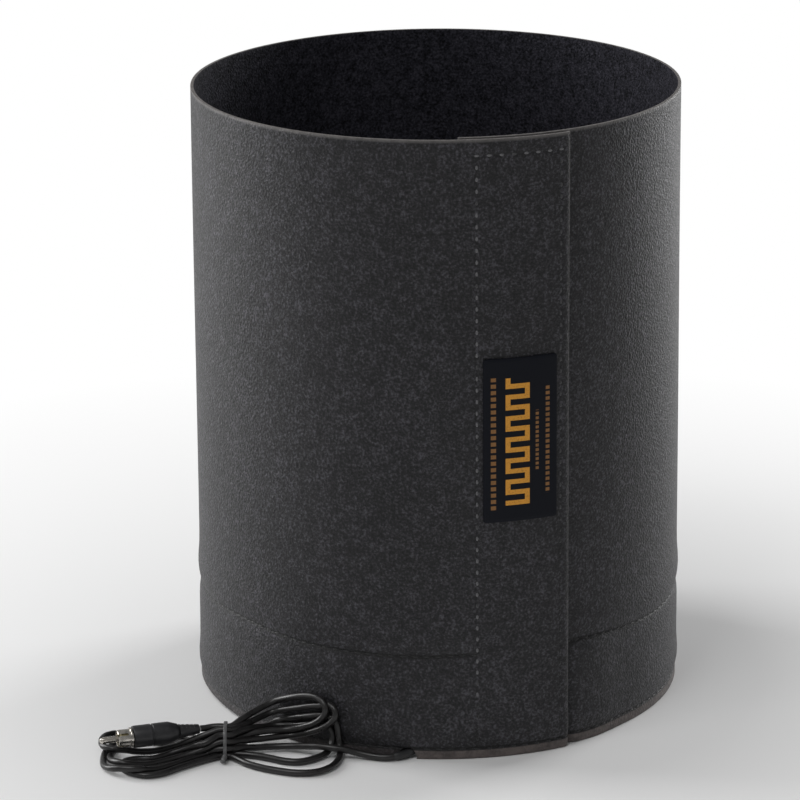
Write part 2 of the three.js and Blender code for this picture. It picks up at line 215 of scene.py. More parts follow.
class Shader:
    """The node tree of one material, built step by step."""

    def __init__(self, name: str) -> None:
        """Starts a material with one Principled shader."""
        self.material = bpy.data.materials.new(name)
        self.material.use_nodes = True
        self.tree = self.material.node_tree
        self.surface = self.tree.nodes["Principled BSDF"]

    def node(self, kind: str, inputs: dict | None = None, **settings) -> bpy.types.Node:
        """Adds a node.

        Args:
            kind: The node's type without its "ShaderNode" start.
            inputs: Values for its inputs, by name or number, or sockets to link to them.
            settings: The node's own properties.

        Returns:
            The new node.
        """
        made = self.tree.nodes.new("ShaderNode" + kind)
        for name, value in settings.items():
            setattr(made, name, value)
        for name, value in (inputs or {}).items():
            if isinstance(value, Socket):
                self.tree.links.new(value, made.inputs[name])
            else:
                made.inputs[name].default_value = value
        return made

    def set(self, **values) -> None:
        """Sets or links inputs of the Principled shader, with _ for the spaces in their names."""
        for name, value in values.items():
            socket = self.surface.inputs[name.replace("_", " ")]
            if isinstance(value, Socket):
                self.tree.links.new(value, socket)
            else:
                socket.default_value = value

    def place(self, scale: tuple[float, float, float] = (1, 1, 1)) -> Socket:
        """Object coordinates, scaled along each axis."""
        where = self.node("TexCoord").outputs["Object"]
        return self.node("Mapping", {"Vector": where, "Scale": scale}).outputs[0]

    def flat(self) -> Socket:
        """The piece's own UV map, in metres along and up the piece."""
        return self.node("UVMap", uv_map="flat").outputs[0]

    def noise(
        self, where: Socket, scale: float, detail: float = 2.0, rough: float = 0.5
    ) -> Socket:
        """Noise from 0 to 1 with a scale in features per metre."""
        inputs = {"Vector": where, "Scale": scale, "Detail": detail, "Roughness": rough}
        return self.node("TexNoise", inputs).outputs["Fac"]

    def cells(self, where: Socket, scale: float) -> Socket:
        """Distance to the middle of each of many cells, with a scale in cells per metre."""
        return self.node("TexVoronoi", {"Vector": where, "Scale": scale}).outputs["Distance"]

    def math(self, operation: str, *values: float | Socket) -> Socket:
        """One step of arithmetic."""
        return self.node("Math", dict(enumerate(values)), operation=operation).outputs[0]

    def colours(
        self, factor: Socket, stops: list[tuple[float, tuple[float, float, float]]]
    ) -> Socket:
        """A colour ramp over a factor.

        Args:
            factor: The socket that picks the colour.
            stops: Places from 0 to 1, each with its linear colour.

        Returns:
            The ramp's colour.
        """
        made = self.node("ValToRGB", {"Fac": factor})
        elements = made.color_ramp.elements
        while len(elements) < len(stops):
            elements.new(0.5)
        for element, (place, colour) in zip(elements, stops):
            element.position = place
            element.color = (*colour, 1.0)
        return made.outputs["Color"]

    def mixed(self, factor: Socket, first: Colour | Socket, second: Colour | Socket) -> Socket:
        """A mix of two colours.

        Args:
            factor: The share of the second colour.
            first: The colour at zero.
            second: The colour at one.

        Returns:
            The mixed colour.
        """
        made = self.node("Mix", {"Factor": factor}, data_type="RGBA")
        for socket, colour in ((made.inputs[6], first), (made.inputs[7], second)):
            if isinstance(colour, Socket):
                self.tree.links.new(colour, socket)
            else:
                socket.default_value = (*colour, 1.0)
        return made.outputs[2]

    def span(self, value: Socket, low: float, high: float, to_low: float, to_high: float) -> Socket:
        """Maps a value's range to another range, clamped."""
        inputs = {"Value": value, 1: low, 2: high, 3: to_low, 4: to_high}
        return self.node("MapRange", inputs).outputs[0]

    def window(self, value: Socket, low: float, high: float) -> Socket:
        """One between two values and zero outside them."""
        above = self.math("GREATER_THAN", value, low)
        return self.math("MULTIPLY", above, self.math("LESS_THAN", value, high))

    def bump(
        self, height: Socket, distance: float, strength: float = 1.0, under: Socket | None = None
    ) -> Socket:
        """A bump from a height, over another bump if one is given.

        Args:
            height: The height socket.
            distance: The depth of a height of one, in metres.
            strength: The bump's strength.
            under: The normal socket of the bump below this one.

        Returns:
            The normal socket.
        """
        inputs = {"Height": height, "Distance": distance, "Strength": strength}
        if under is not None:
            inputs["Normal"] = under
        return self.node("Bump", inputs).outputs[0]


@dataclass(frozen=True)
class PebbledSheet:
    """Matte black plastic sheet with a fine pebbled grain and lighter speckles."""

    dark: Colour = (0.0025, 0.0025, 0.0035)
    middle: Colour = (0.0095, 0.0093, 0.0112)
    light: Colour = (0.062, 0.059, 0.071)
    # Painted light: the paler, browner colour of the lowest few millimetres, standing for light from the floor on the
    # flared lip.
    lip: Colour = (0.125, 0.104, 0.097)
    # Colour of the painted highlight along the top rim and the flap's free edge.
    wear_and_highlight: Colour = (0.13, 0.123, 0.12)
    grain: float = 800.0
    roughness: float = 0.55
    specular: float = 0.42
    sheen: float = 0.07
    marked: bool = True

    def make(self, name: str) -> bpy.types.Material:
        """Builds the material."""
        shader = Shader(name)
        where = shader.place()
        grain = shader.noise(where, self.grain, 3.0, 0.65)
        pebbles = shader.cells(where, self.grain * 1.1)
        mottle = shader.noise(where, 210.0, 4.0, 0.62)
        clouds = shader.noise(where, 24.0, 2.0, 0.5)
        speck = shader.math("ADD", shader.math("MULTIPLY", grain, 0.66), shader.math("MULTIPLY", mottle, 0.3))
        speck = shader.math("ADD", speck, shader.math("MULTIPLY", clouds, 0.06))
        colour = shader.colours(speck, [(0.39, self.dark), (0.51, self.middle), (0.65, self.light)])
        if self.marked:
            colour = self.marks(shader, colour, mottle)
        shader.set(Base_Color=colour, Specular_IOR_Level=self.specular)
        shader.set(Roughness=shader.span(grain, 0.3, 0.7, self.roughness + 0.1, self.roughness - 0.08))
        shader.set(Sheen_Weight=self.sheen, Sheen_Roughness=0.45)
        coarse = shader.bump(pebbles, 0.3 * MM, 0.75)
        shader.set(Normal=shader.bump(grain, 0.4 * MM, 0.75, coarse))
        return shader.material

    def marks(self, shader: Shader, colour: Socket, mottle: Socket) -> Socket:
        """Adds the dark seam lines, a painted light from the floor on the lip, and a painted highlight along the top
        rim and the flap's free edge to the sheet's colour.

        Args:
            shader: The sheet's shader.
            colour: Its plain colour.
            mottle: The noise that breaks up the marks.

        Returns:
            The marked colour.
        """
        roll = Roll()
        axes = shader.node("SeparateXYZ", {"Vector": shader.flat()})
        along, height = axes.outputs[0], axes.outputs[1]
        # Painted light from the floor on the lip, cut down to 0.3 across the shaded stretch of the base as painted
        # shade there.
        lip = shader.span(height, 3.7 * MM, 4.5 * MM, 0.9, 0.0)
        shaded = shader.window(along, roll.along(262), roll.along(351))
        lip = shader.math("MULTIPLY", lip, shader.span(shaded, 0.0, 1.0, 1.0, 0.3))
        lip = shader.math("MULTIPLY", lip, shader.span(mottle, 0.35, 0.6, 0.5, 1.0))
        colour = shader.mixed(lip, colour, self.lip)
        pitch = shader.math("SINE", shader.math("MULTIPLY", along, 2 * math.pi / (5.5 * MM)))
        dots = shader.span(pitch, -0.6, 0.4, 0.75, 1.0)
        for seam, wide in ((roll.upper_seam, 1.35 * MM), (roll.lower_seam, 1.1 * MM)):
            away = shader.math("ABSOLUTE", shader.math("SUBTRACT", height, seam))
            line = shader.math("MULTIPLY", shader.span(away, 0.6 * wide, wide, 1.0, 0.0), dots)
            if seam == roll.upper_seam:
                outside_flap = shader.window(along, roll.along(30.6), roll.along(367.6))
                line = shader.math("MULTIPLY", line, outside_flap)
            colour = shader.mixed(line, colour, (0.0015, 0.0015, 0.002))
        # Painted highlight: a paler band along the top rim's rounding and along the flap's free edge, broken up by the
        # mottle.
        rim_highlight = shader.span(height, roll.height - 1.7 * MM, roll.height - 0.5 * MM, 0.0, 0.9)
        last = roll.along(roll.end)
        edge = shader.span(along, last - 1.0 * MM, last - 0.3 * MM, 0.0, 0.3)
        wear_and_highlight = shader.math("MAXIMUM", rim_highlight, edge)
        wear_and_highlight = shader.math("MULTIPLY", wear_and_highlight, shader.span(mottle, 0.3, 0.55, 0.6, 1.0))
        return shader.mixed(wear_and_highlight, colour, self.wear_and_highlight)


@dataclass(frozen=True)
class CutEdge:
    """The sheet's cut edge, paler and smoother than its faces; its paleness is partly a painted highlight on the rim.
    """

    # Partly the edge's own paler colour, partly a painted highlight on the rim.
    colour: Colour = (0.17, 0.158, 0.152)

    def make(self, name: str = "cut_edge") -> bpy.types.Material:
        """Builds the material."""
        shader = Shader(name)
        streaks = shader.noise(shader.place((1, 1, 6)), 400.0, 3.0)
        darker = tuple(0.55 * c for c in self.colour)
        shader.set(Base_Color=shader.colours(streaks, [(0.35, darker), (0.65, self.colour)]))
        shader.set(Roughness=0.5, Normal=shader.bump(streaks, 0.1 * MM, 0.5))
        return shader.material


@dataclass(frozen=True)
class SewingThread:
    """Twisted thread."""

    colour: Colour

    def make(self, name: str) -> bpy.types.Material:
        """Builds the material."""
        shader = Shader(name)
        fibres = shader.noise(shader.place(), 2600.0, 3.0)
        darker = tuple(0.6 * c for c in self.colour)
        shader.set(Base_Color=shader.colours(fibres, [(0.3, darker), (0.7, self.colour)]))
        shader.set(Roughness=0.6, Sheen_Weight=0.3, Normal=shader.bump(fibres, 0.08 * MM, 0.7))
        return shader.material


@dataclass(frozen=True)
class WovenCloth:
    """Black cloth, whose yarns follow the piece's own flat map."""

    colour: Colour
    yarn: float = 0.5 * MM
    fuzz: float = 0.4

    def make(self, name: str) -> bpy.types.Material:
        """Builds the material."""
        shader = Shader(name)
        flat = shader.flat()
        axes = shader.node("SeparateXYZ", {"Vector": flat})
        turn = math.pi / self.yarn
        warp = shader.math("SINE", shader.math("MULTIPLY", axes.outputs[0], turn))
        weft = shader.math("SINE", shader.math("MULTIPLY", axes.outputs[1], turn))
        weave = shader.math("MULTIPLY", warp, weft)
        fuzz = shader.noise(shader.place(), 900.0, 4.0, 0.7)
        height = shader.math("ADD", shader.math("MULTIPLY", weave, 0.25), shader.math("MULTIPLY", fuzz, self.fuzz))
        darker = tuple(0.5 * c for c in self.colour)
        shader.set(Base_Color=shader.colours(fuzz, [(0.3, darker), (0.7, self.colour)]))
        shader.set(Roughness=0.92, Sheen_Weight=0.5, Sheen_Roughness=0.5)
        shader.set(Normal=shader.bump(height, 0.25 * MM, 0.8))
        return shader.material


@dataclass(frozen=True)
class PrintedPatch:
    """Dark blue satin patch, printed with a plain heater coil between dashed rules."""

    ground: Colour = (0.0035, 0.0045, 0.0085)
    orange: Colour = (0.72, 0.33, 0.05)
    tan: Colour = (0.26, 0.13, 0.05)

    def make(self, name: str = "printed_patch") -> bpy.types.Material:
        """Builds the material."""
        shader = Shader(name)
        axes = shader.node("SeparateXYZ", {"Vector": shader.flat()})
        across, up = axes.outputs[0], axes.outputs[1]
        coil = self.coil(shader, across, up)
        ink = shader.noise(shader.place(), 1500.0, 2.0)
        # On the patch this is only the ink's wear, with no highlight.
        wear_and_highlight = shader.span(ink, 0.25, 0.5, 0.65, 1.0)
        colour = shader.mixed(shader.math("MULTIPLY", coil, wear_and_highlight), self.ground, self.orange)
        for middle, thick, low, high, dash in self.rules():
            rule = self.rule(shader, across, up, middle, thick, low, high, dash)
            colour = shader.mixed(shader.math("MULTIPLY", rule, wear_and_highlight), colour, self.tan)
        shader.set(Base_Color=colour, Roughness=0.5, Specular_IOR_Level=0.16)
        weave = shader.noise(shader.place(), 1900.0, 2.0)
        shader.set(Normal=shader.bump(weave, 0.06 * MM, 0.5))
        return shader.material

    def rules(self) -> list[tuple[float, float, float, float, float]]:
        """The dashed rules: middle, thickness, lower end, upper end and dash pitch, in metres."""
        return [
            (4.6 * MM, 2.4 * MM, 6 * MM, 70 * MM, 3.1 * MM),
            (25.2 * MM, 1.5 * MM, 24 * MM, 53 * MM, 2.2 * MM),
            (30.3 * MM, 1.9 * MM, 12 * MM, 64 * MM, 2.6 * MM),
        ]

    def rule(
        self,
        shader: Shader,
        across: Socket,
        up: Socket,
        middle: float,
        thick: float,
        low: float,
        high: float,
        dash: float,
    ) -> Socket:
        """The mask of one dashed rule, whose measures are those that rules gives."""
        line = shader.window(across, middle - thick / 2, middle + thick / 2)
        length = shader.window(up, low, high)
        phase = shader.math("FRACT", shader.math("DIVIDE", up, dash))
        gaps = shader.math("LESS_THAN", phase, 0.62)
        return shader.math("MULTIPLY", shader.math("MULTIPLY", line, length), gaps)

    def coil(self, shader: Shader, across: Socket, up: Socket) -> Socket:
        """The mask of a square-wave coil that climbs the patch."""
        left, right, thick = 10.2 * MM, 21.6 * MM, 2.3 * MM
        low, high, pitch = 8 * MM, 69.5 * MM, 10.25 * MM
        length = shader.window(up, low, high)
        phase = shader.math("FRACT", shader.math("DIVIDE", shader.math("SUBTRACT", up, low), pitch))
        body = shader.window(across, left, right)
        bars = shader.math("ADD", shader.window(phase, -0.01, 0.225), shader.window(phase, 0.5, 0.725))
        left_side = shader.window(across, left, left + thick)
        right_side = shader.window(across, right - thick, right)
        first_half = shader.math("LESS_THAN", phase, 0.5)
        second_half = shader.math("SUBTRACT", 1.0, first_half)
        sides = shader.math(
            "ADD",
            shader.math("MULTIPLY", right_side, first_half),
            shader.math("MULTIPLY", left_side, second_half),
        )
        coil = shader.math("MAXIMUM", shader.math("MULTIPLY", bars, body), sides)
        return shader.math("MULTIPLY", coil, length)


@dataclass(frozen=True)
class SoftJacket:
    """Satin black plastic of a cord or sleeve, with faint scuffs."""

    colour: Colour = (0.0085, 0.0078, 0.008)
    roughness: float = 0.3

    def make(self, name: str) -> bpy.types.Material:
        """Builds the material."""
        shader = Shader(name)
        scuffs = shader.noise(shader.place(), 260.0, 4.0, 0.65)
        fine = shader.noise(shader.place(), 3000.0, 2.0)
        lighter = tuple(1.7 * c for c in self.colour)
        shader.set(Base_Color=shader.colours(scuffs, [(0.4, self.colour), (0.75, lighter)]))
        shader.set(Roughness=shader.span(scuffs, 0.3, 0.7, self.roughness - 0.06, self.roughness + 0.12))
        shader.set(Specular_IOR_Level=0.55, Normal=shader.bump(fine, 0.02 * MM, 0.5))
        return shader.material


@dataclass(frozen=True)
class NickelPlate:
    """Bright nickel plate with fine turning marks and slight tarnish."""

    colour: Colour = (0.66, 0.63, 0.58)

    def make(self, name: str = "nickel_plate") -> bpy.types.Material:
        """Builds the material."""
        shader = Shader(name)
        marks = shader.noise(shader.place(), 4200.0, 2.0)
        stain = shader.noise(shader.place(), 420.0, 3.0)
        darker = tuple(0.62 * c for c in self.colour)
        shader.set(Base_Color=shader.colours(stain, [(0.35, darker), (0.6, self.colour)]), Metallic=1.0)
        shader.set(Roughness=shader.span(stain, 0.3, 0.7, 0.3, 0.16))
        shader.set(Normal=shader.bump(marks, 0.012 * MM, 0.5))
        return shader.material


@dataclass(frozen=True)
class PlainPlastic:
    """Moulded plastic or film of one colour, slightly uneven."""

    colour: Colour
    roughness: float = 0.4

    def make(self, name: str) -> bpy.types.Material:
        """Builds the material."""
        shader = Shader(name)
        cloud = shader.noise(shader.place(), 500.0, 3.0)
        darker = tuple(0.72 * c for c in self.colour)
        shader.set(Base_Color=shader.colours(cloud, [(0.3, darker), (0.7, self.colour)]))
        shader.set(Roughness=shader.span(cloud, 0.3, 0.7, self.roughness - 0.05, self.roughness + 0.08))
        shader.set(Normal=shader.bump(cloud, 0.03 * MM, 0.4))
        return shader.material


# The studio


@dataclass
class Studio:
    """A pale floor, soft lamps all round and the camera."""

    focal_length: float = 179.2
    camera_place: tuple[float, float, float] = (0.0, -1.8618, 0.7297)
    pitch: float = 0.3068
    roll: float = -0.0069
    yaw: float = -0.0104
    floor_size: float = 14.0
    floor_colour: float = 0.82
    world_level: float = 0.26

    def camera(self) -> None:
        """Sets the camera where the photographer's was."""
        data = bpy.data.cameras.new("camera")
        data.lens = self.focal_length
        data.sensor_width = 36.0
        data.clip_end = 50.0
        camera = bpy.data.objects.new("camera", data)
        bpy.context.scene.collection.objects.link(camera)
        ahead = Vector(
            (
                math.sin(self.yaw) * math.cos(self.pitch),
                math.cos(self.yaw) * math.cos(self.pitch),
                -math.sin(self.pitch),
            )
        )
        right = Vector((math.cos(self.yaw), -math.sin(self.yaw), 0.0))
        up = right.cross(ahead)
        turned_right = math.cos(self.roll) * right + math.sin(self.roll) * up
        turned_up = -math.sin(self.roll) * right + math.cos(self.roll) * up
        axes = Matrix((turned_right, turned_up, -ahead)).transposed()
        camera.rotation_mode = "QUATERNION"
        camera.rotation_quaternion = axes.to_quaternion()
        camera.location = self.camera_place
        bpy.context.scene.camera = camera

    def floor(self) -> None:
        """Lays the pale floor, which turns white far from the object for the camera."""
        select_only()
        bpy.ops.mesh.primitive_plane_add(size=self.floor_size, location=(0, 0, -0.2 * MM))
        floor = bpy.context.object
        floor.name = "floor"
        shader = Shader("pale_floor")
        level = self.floor_colour
        shader.set(Base_Color=(level, level, level, 1.0), Roughness=0.9, Specular_IOR_Level=0.1)
        where = shader.node("TexCoord").outputs["Object"]
        radius = shader.node("VectorMath", {0: where}, operation="LENGTH").outputs["Value"]
        far = shader.span(radius, 0.16, 0.52, 0.0, 1.0)
        seen = shader.math("MULTIPLY", far, shader.node("LightPath").outputs["Is Camera Ray"])
        glow = shader.node("Emission", {"Color": (1.0, 1.0, 1.0, 1.0), "Strength": 1.0}).outputs[0]
        faded = shader.node("MixShader", {0: seen, 1: shader.surface.outputs[0], 2: glow}).outputs[0]
        shader.tree.links.new(faded, shader.tree.nodes["Material Output"].inputs["Surface"])
        floor.data.materials.append(shader.material)

    def lamp(
        self, name: str, place: tuple[float, float, float], size: tuple[float, float], watts: float
    ) -> None:
        """Hangs one soft lamp that faces the object.

        Args:
            name: The lamp's name.
            place: Where it hangs, in metres.
            size: Its width and height, in metres.
            watts: Its power.
        """
        data = bpy.data.lights.new(name, "AREA")
        data.shape = "RECTANGLE"
        data.size, data.size_y = size
        data.energy = watts
        lamp = bpy.data.objects.new(name, data)
        bpy.context.scene.collection.objects.link(lamp)
        lamp.location = place
        lamp.rotation_mode = "QUATERNION"
        lamp.rotation_quaternion = (Vector((0, 0, 0.13)) - Vector(place)).to_track_quat("-Z", "Y")

    def lights(self) -> None:
        """Hangs the lamps and sets the world."""
        self.lamp("left_box", (-1.35, 0.42, 0.7), (0.7, 1.3), 17.5)
        self.lamp("right_box", (1.05, 0.95, 0.6), (0.6, 1.2), 15.0)
        self.lamp("top_box", (-0.75, -1.0, 1.75), (1.1, 0.9), 11.0)
        world = bpy.data.worlds.new("studio")
        bpy.context.scene.world = world
        world.use_nodes = True
        tree = world.node_tree
        backdrop = tree.nodes["Background"]
        backdrop.inputs["Color"].default_value = (1.0, 1.0, 1.0, 1.0)
        path = tree.nodes.new("ShaderNodeLightPath")
        seen = tree.nodes.new("ShaderNodeMath")
        seen.operation = "MAXIMUM"
        tree.links.new(path.outputs["Is Camera Ray"], seen.inputs[0])
        tree.links.new(path.outputs["Is Transmission Ray"], seen.inputs[1])
        level = tree.nodes.new("ShaderNodeMapRange")
        level.inputs[3].default_value = self.world_level
        level.inputs[4].default_value = 1.0
        tree.links.new(seen.outputs[0], level.inputs[0])
        tree.links.new(level.outputs[0], backdrop.inputs["Strength"])
        bpy.context.scene.view_settings.view_transform = "Standard"

    def build(self) -> None:
        """Builds the camera, floor and lamps."""
        self.camera()
        self.floor()
        self.lights()


# The rolled sheet and what is sewn to it


@dataclass(frozen=True)
class Roll:
    """The sheet's rolled shape. Flat pieces are modelled with X along the sheet, Y up and Z out.

    Angles are in degrees from the front towards +X.
    """

    radius: float = TUBE_RADIUS * MM
    height: float = 300 * MM
    thickness: float = 1.6 * MM
    flare: float = 1.0 * MM
    step: float = 4.4 * MM
    start: float = FLAP_EDGE - math.degrees(OVERLAP / TUBE_RADIUS)
    end: float = 390.2
    upper_seam: float = 51.5 * MM
    lower_seam: float = 5.0 * MM

    def along(self, angle: float) -> float:
        """The distance along the flat sheet, in metres, of an angle."""
        return math.radians(angle - self.start) * self.radius

    def angle(self, along: float) -> float:
        """The angle of a distance along the flat sheet."""
        return self.start + math.degrees(along / self.radius)

    def seam_height(self, angle: float) -> float:
        """The upper seam's height, which wanders as it was sewn by hand."""
        turn = angle % 360
        dip = -2.9 * bell(turn, 72, 26) + 0.4 * bell(turn, 8, 18)
        rise = 1.9 * bell(turn, 308, 13) + 0.7 * bell(turn, 285, 20)
        wander = 0.35 * math.sin(math.radians(5 * turn))
        return self.upper_seam + (dip + rise + wander) * MM

    def relief(self, angle: float, height: float) -> float:
        """How far the sheet stands out of its plain shape, in metres."""
        z = height / MM
        seam = self.seam_height(angle) / MM
        sewn = ramp(angle, 31.5, 34) * (1 - ramp(angle, 366.5, 369))
        upper = -0.5 * bell(z, seam, 0.5) - 0.45 * bell(z, seam, 4.0) + 0.75 * bell(z, seam + 9, 7)
        lower = -0.4 * bell(z, 5, 0.5) - 0.3 * bell(z, 5, 3.0) + 0.6 * bell(z, 12, 6)
        band = 0.35 * ramp(z, 5, 12) * (1 - ramp(z, seam - 8, seam - 1))
        beside_flap = 1.9 * ramp(angle, 30.4, 33) * (1 - ramp(angle, 36, 50))
        beside_flap *= 1 - ramp(z, seam - 3, seam + 1)
        rows = self.row_grooves(angle, z)
        edge = -0.75 * ramp(angle, 389.1, 390.2)
        waves = 0.22 * math.sin(math.radians(3 * angle + 40)) * math.sin(z / 55 + math.radians(2 * angle))
        return (sewn * (upper + band) + lower + beside_flap + rows + edge + waves) * MM

    def row_grooves(self, angle: float, z: float) -> float:
        """The grooves that the closure's stitching pulls into the flap, in millimetres."""
        inside = ramp(angle, 367.6, 368.4) * (1 - ramp(angle, 387.8, 388.5))
        upright = (bell(angle, 368.25, 0.3) + bell(angle, 387.8, 0.3)) * (1 - ramp(z, 292.5, 293.5))
        return -0.3 * upright - 0.28 * inside * bell(z, 292.4, 0.55)

    def raised_lip(self, angle: float, height: float) -> float:
        """How far the base's lip curls up off the floor, in metres."""
        turn = (angle + 180) % 360 - 180
        curl = 2.2 * bell(turn, -70, 24) + 0.5 * bell(turn, 150, 40)
        return curl * (1 - ramp(height, 0, 9 * MM)) * MM

    def point(self, angle: float, height: float, outward: float = 0.0) -> Vector:
        """A point near the rolled sheet.

        Args:
            angle: The angle round the tube.
            height: The height, in metres.
            outward: The distance out from the sheet's outer face, in metres.

        Returns:
            The point.
        """
        turn = math.radians(angle)
        middle = (self.start + self.end) / 2
        radius = self.radius + self.step * (angle - middle) / 360
        radius += self.flare * (1 - height / self.height) + outward + self.relief(angle, height)
        lift = self.raised_lip(angle, height)
        return Vector((radius * math.sin(turn), -radius * math.cos(turn), height + lift))

    def roll_up(self, piece: bpy.types.Object) -> None:
        """Rolls a flat piece into its place on the tube."""
        for vertex in piece.data.vertices:
            along, height, outward = vertex.co
            vertex.co = self.point(self.angle(along), height, outward)
        piece.data.update()


def flat_grid(name: str, columns: list[float], rows: list[float]) -> bpy.types.Object:
    """A flat grid with its own places for columns and rows, and a map in metres named flat.

    Args:
        name: The object's name.
        columns: The columns' places along X, in metres.
        rows: The rows' places along Y, in metres.

    Returns:
        The grid.
    """
    select_only()
    wide, high = len(columns) - 1, len(rows) - 1
    bpy.ops.mesh.primitive_grid_add(x_subdivisions=wide, y_subdivisions=high, size=1.0)
    grid = bpy.context.object
    grid.name = name
    for vertex in grid.data.vertices:
        column = round((vertex.co.x + 0.5) * wide)
        row = round((vertex.co.y + 0.5) * high)
        vertex.co = (columns[column], rows[row], 0.0)
    layer = grid.data.uv_layers[0]
    layer.name = "flat"
    for loop in grid.data.loops:
        place = grid.data.vertices[loop.vertex_index].co
        layer.data[loop.index].uv = (place.x, place.y)
    return grid


def spread(start: float, end: float, step: float) -> list[float]:
    """Even places from start to end, about a step apart."""
    count = max(1, round((end - start) / step))
    return [start + (end - start) * i / count for i in range(count + 1)]


def thicken(
    piece: bpy.types.Object, thickness: float, rounding: float, slots: tuple[int, int] = (0, 0)
) -> None:
    """Gives a flat piece its thickness, inwards from its face, and rounds its edges.

    Args:
        piece: The flat piece.
        thickness: Its thickness, in metres.
        rounding: The radius of its edges, in metres.
        slots: How many material slots on the finishes of the back and the cut edge are.
    """
    solid = piece.modifiers.new("solid", "SOLIDIFY")
    solid.thickness = thickness
    solid.offset = -1.0
    solid.material_offset, solid.material_offset_rim = slots
    if rounding:
        bevel = piece.modifiers.new("round", "BEVEL")
        bevel.width = rounding
        bevel.segments = 2
        bevel.limit_method = "ANGLE"
        bevel.angle_limit = math.radians(50)
    apply_modifiers(piece)


@dataclass
class Shield:
    """The rolled sheet with its closure strips, stitching, seams and printed patch."""

    roll: Roll = field(default_factory=Roll)
    column_step: float = 1.0
    strip_width: float = 49 * MM
    strip_margin: float = 0.6 * MM
    hook_thickness: float = 1.0 * MM
    loop_thickness: float = 1.2 * MM
    seat_gap: float = 0.2 * MM
    left_row: float = 8.25
    right_row: float = 27.8
    top_row: float = 292.4 * MM
    bottom_row: float = 4.6 * MM
    stitch_pitch: float = 5.5 * MM
    patch_angle: float = 18.1
    patch_width: float = 35 * MM
    patch_height: float = 79 * MM
    patch_middle: float = 157 * MM
    patch_thickness: float = 0.8 * MM
    port_angle: float = 352.4
    port_radius: float = 4.4 * MM
    port_top: float = 5.3 * MM
    port_margin: float = 3.4
    seam_start: float = 31.0
    seam_end: float = 367.6
    dark_height: float = 30 * MM
    dark_height_by_edge: float = 118 * MM

    def columns(self) -> list[float]:
        """The sheet's columns: even ones, and fine ones along the rows of stitching."""
        angles = spread(self.roll.start, self.roll.end, self.column_step)
        for row in (self.left_row + 360, self.right_row + 360):
            angles = [a for a in angles if abs(a - row) > 0.75]
            angles += [row + d for d in (-0.6, -0.3, -0.12, 0.12, 0.3, 0.6)]
        angles = [a for a in angles if not 388.9 < a < 390.1] + [389.1, 389.5, 389.9]
        return [self.roll.along(a) for a in sorted(angles)]

    def rows(self) -> list[float]:
        """The sheet's rows: close ones at the seams and wide ones above them."""
        low = [0, 1.1, 2.4, 3.6, 4.3, 4.7, 5.0, 5.3, 5.7, 6.6, 8.2, 10.5, 13.5, 17, 21, 26, 32, 38, 42.5, 46]
        seam = [self.roll.upper_seam / MM + d for d in (-3, -1.6, -0.8, -0.35, 0, 0.35, 0.8, 1.6, 3, 5.5, 8.5, 12)]
        high = [69, 76, *range(85, 285, 10), 287.5, 290.6, 291.6, 292.1, 292.4, 292.7, 293.2, 295, 297.5, 300]
        return [value * MM for value in (*low, *seam, *high)]

    def sheet(self) -> None:
        """Makes the sheet flat, cuts its port and rolls it up."""
        grid = flat_grid("rolled_sheet", self.columns(), self.rows())
        grid.data.materials.append(PebbledSheet().make("pebbled_sheet"))
        inside = PebbledSheet(
            light=(0.052, 0.05, 0.064),
            middle=(0.02, 0.02, 0.027),
            specular=0.15,
            roughness=0.75,
            sheen=0.0,
            marked=False,
        )
        grid.data.materials.append(inside.make("sheet_inside"))
        grid.data.materials.append(CutEdge().make())
        for vertex in grid.data.vertices:
            near = bell(vertex.co.y, self.roll.upper_seam, 26 * MM)
            shift = self.roll.seam_height(self.roll.angle(vertex.co.x)) - self.roll.upper_seam
            vertex.co.y += shift * near
        thicken(grid, self.roll.thickness, 0.3 * MM, (1, 2))
        cut_out(grid, self.port())
        self.roll.roll_up(grid)
        smooth(grid)
        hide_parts("shield_sheet")
        self.finish(grid, "pebbled_sheet")

    def port(self) -> bpy.types.Object:
        """The round cutter of the cord's port, in the flat sheet."""
        select_only()
        place = (self.roll.along(self.port_angle), self.port_top - self.port_radius, 0)
        bpy.ops.mesh.primitive_cylinder_add(
            vertices=40, radius=self.port_radius, depth=8 * MM, location=place
        )
        return bpy.context.object

    def finish(self, piece: bpy.types.Object, slot: str) -> None:
        """Hands a piece over to the frame."""
        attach(piece, "root")
        log.info("%s: %d faces", piece.name, len(piece.data.polygons))

    def strip(
        self, name: str, node: str, turn: float, face: float, thickness: float, nap: float
    ) -> None:
        """Makes one closure strip.

        Args:
            name: The piece's name.
            node: The CAD node that it stands for.
            turn: 360 for the strip in the flap and 0 for the one on the inner end.
            face: Its outer face's distance out from the sheet's, in metres.
            thickness: Its thickness, in metres.
            nap: How rough its face is, in metres.
        """
        right = self.roll.along(FLAP_EDGE + turn) - self.strip_margin - 0.9 * MM
        left = self.roll.along(FLAP_EDGE + turn) - self.strip_margin - self.strip_width
        columns = spread(left, right, 1.2 * MM)
        rows = spread(1 * MM, self.top_row + 4.5 * MM, 2.2 * MM)
        strip = flat_grid(name, columns, rows)
        for index, vertex in enumerate(strip.data.vertices):
            edge = min(vertex.co.x - left, right - vertex.co.x) < 0.1 * MM
            if not edge:
                vertex.co.z = -nap * (0.5 + 0.5 * math.sin(index * 12.9898) * math.sin(index * 4.1414))
        thicken(strip, thickness - nap, 0)
        for vertex in strip.data.vertices:
            vertex.co.z += face
        self.roll.roll_up(strip)
        smooth(strip)
        strip.data.materials.append(WovenCloth((0.012, 0.012, 0.013), 0.7 * MM).make(name))
        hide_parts(node)
        self.finish(strip, node.replace("strip", "tape"))

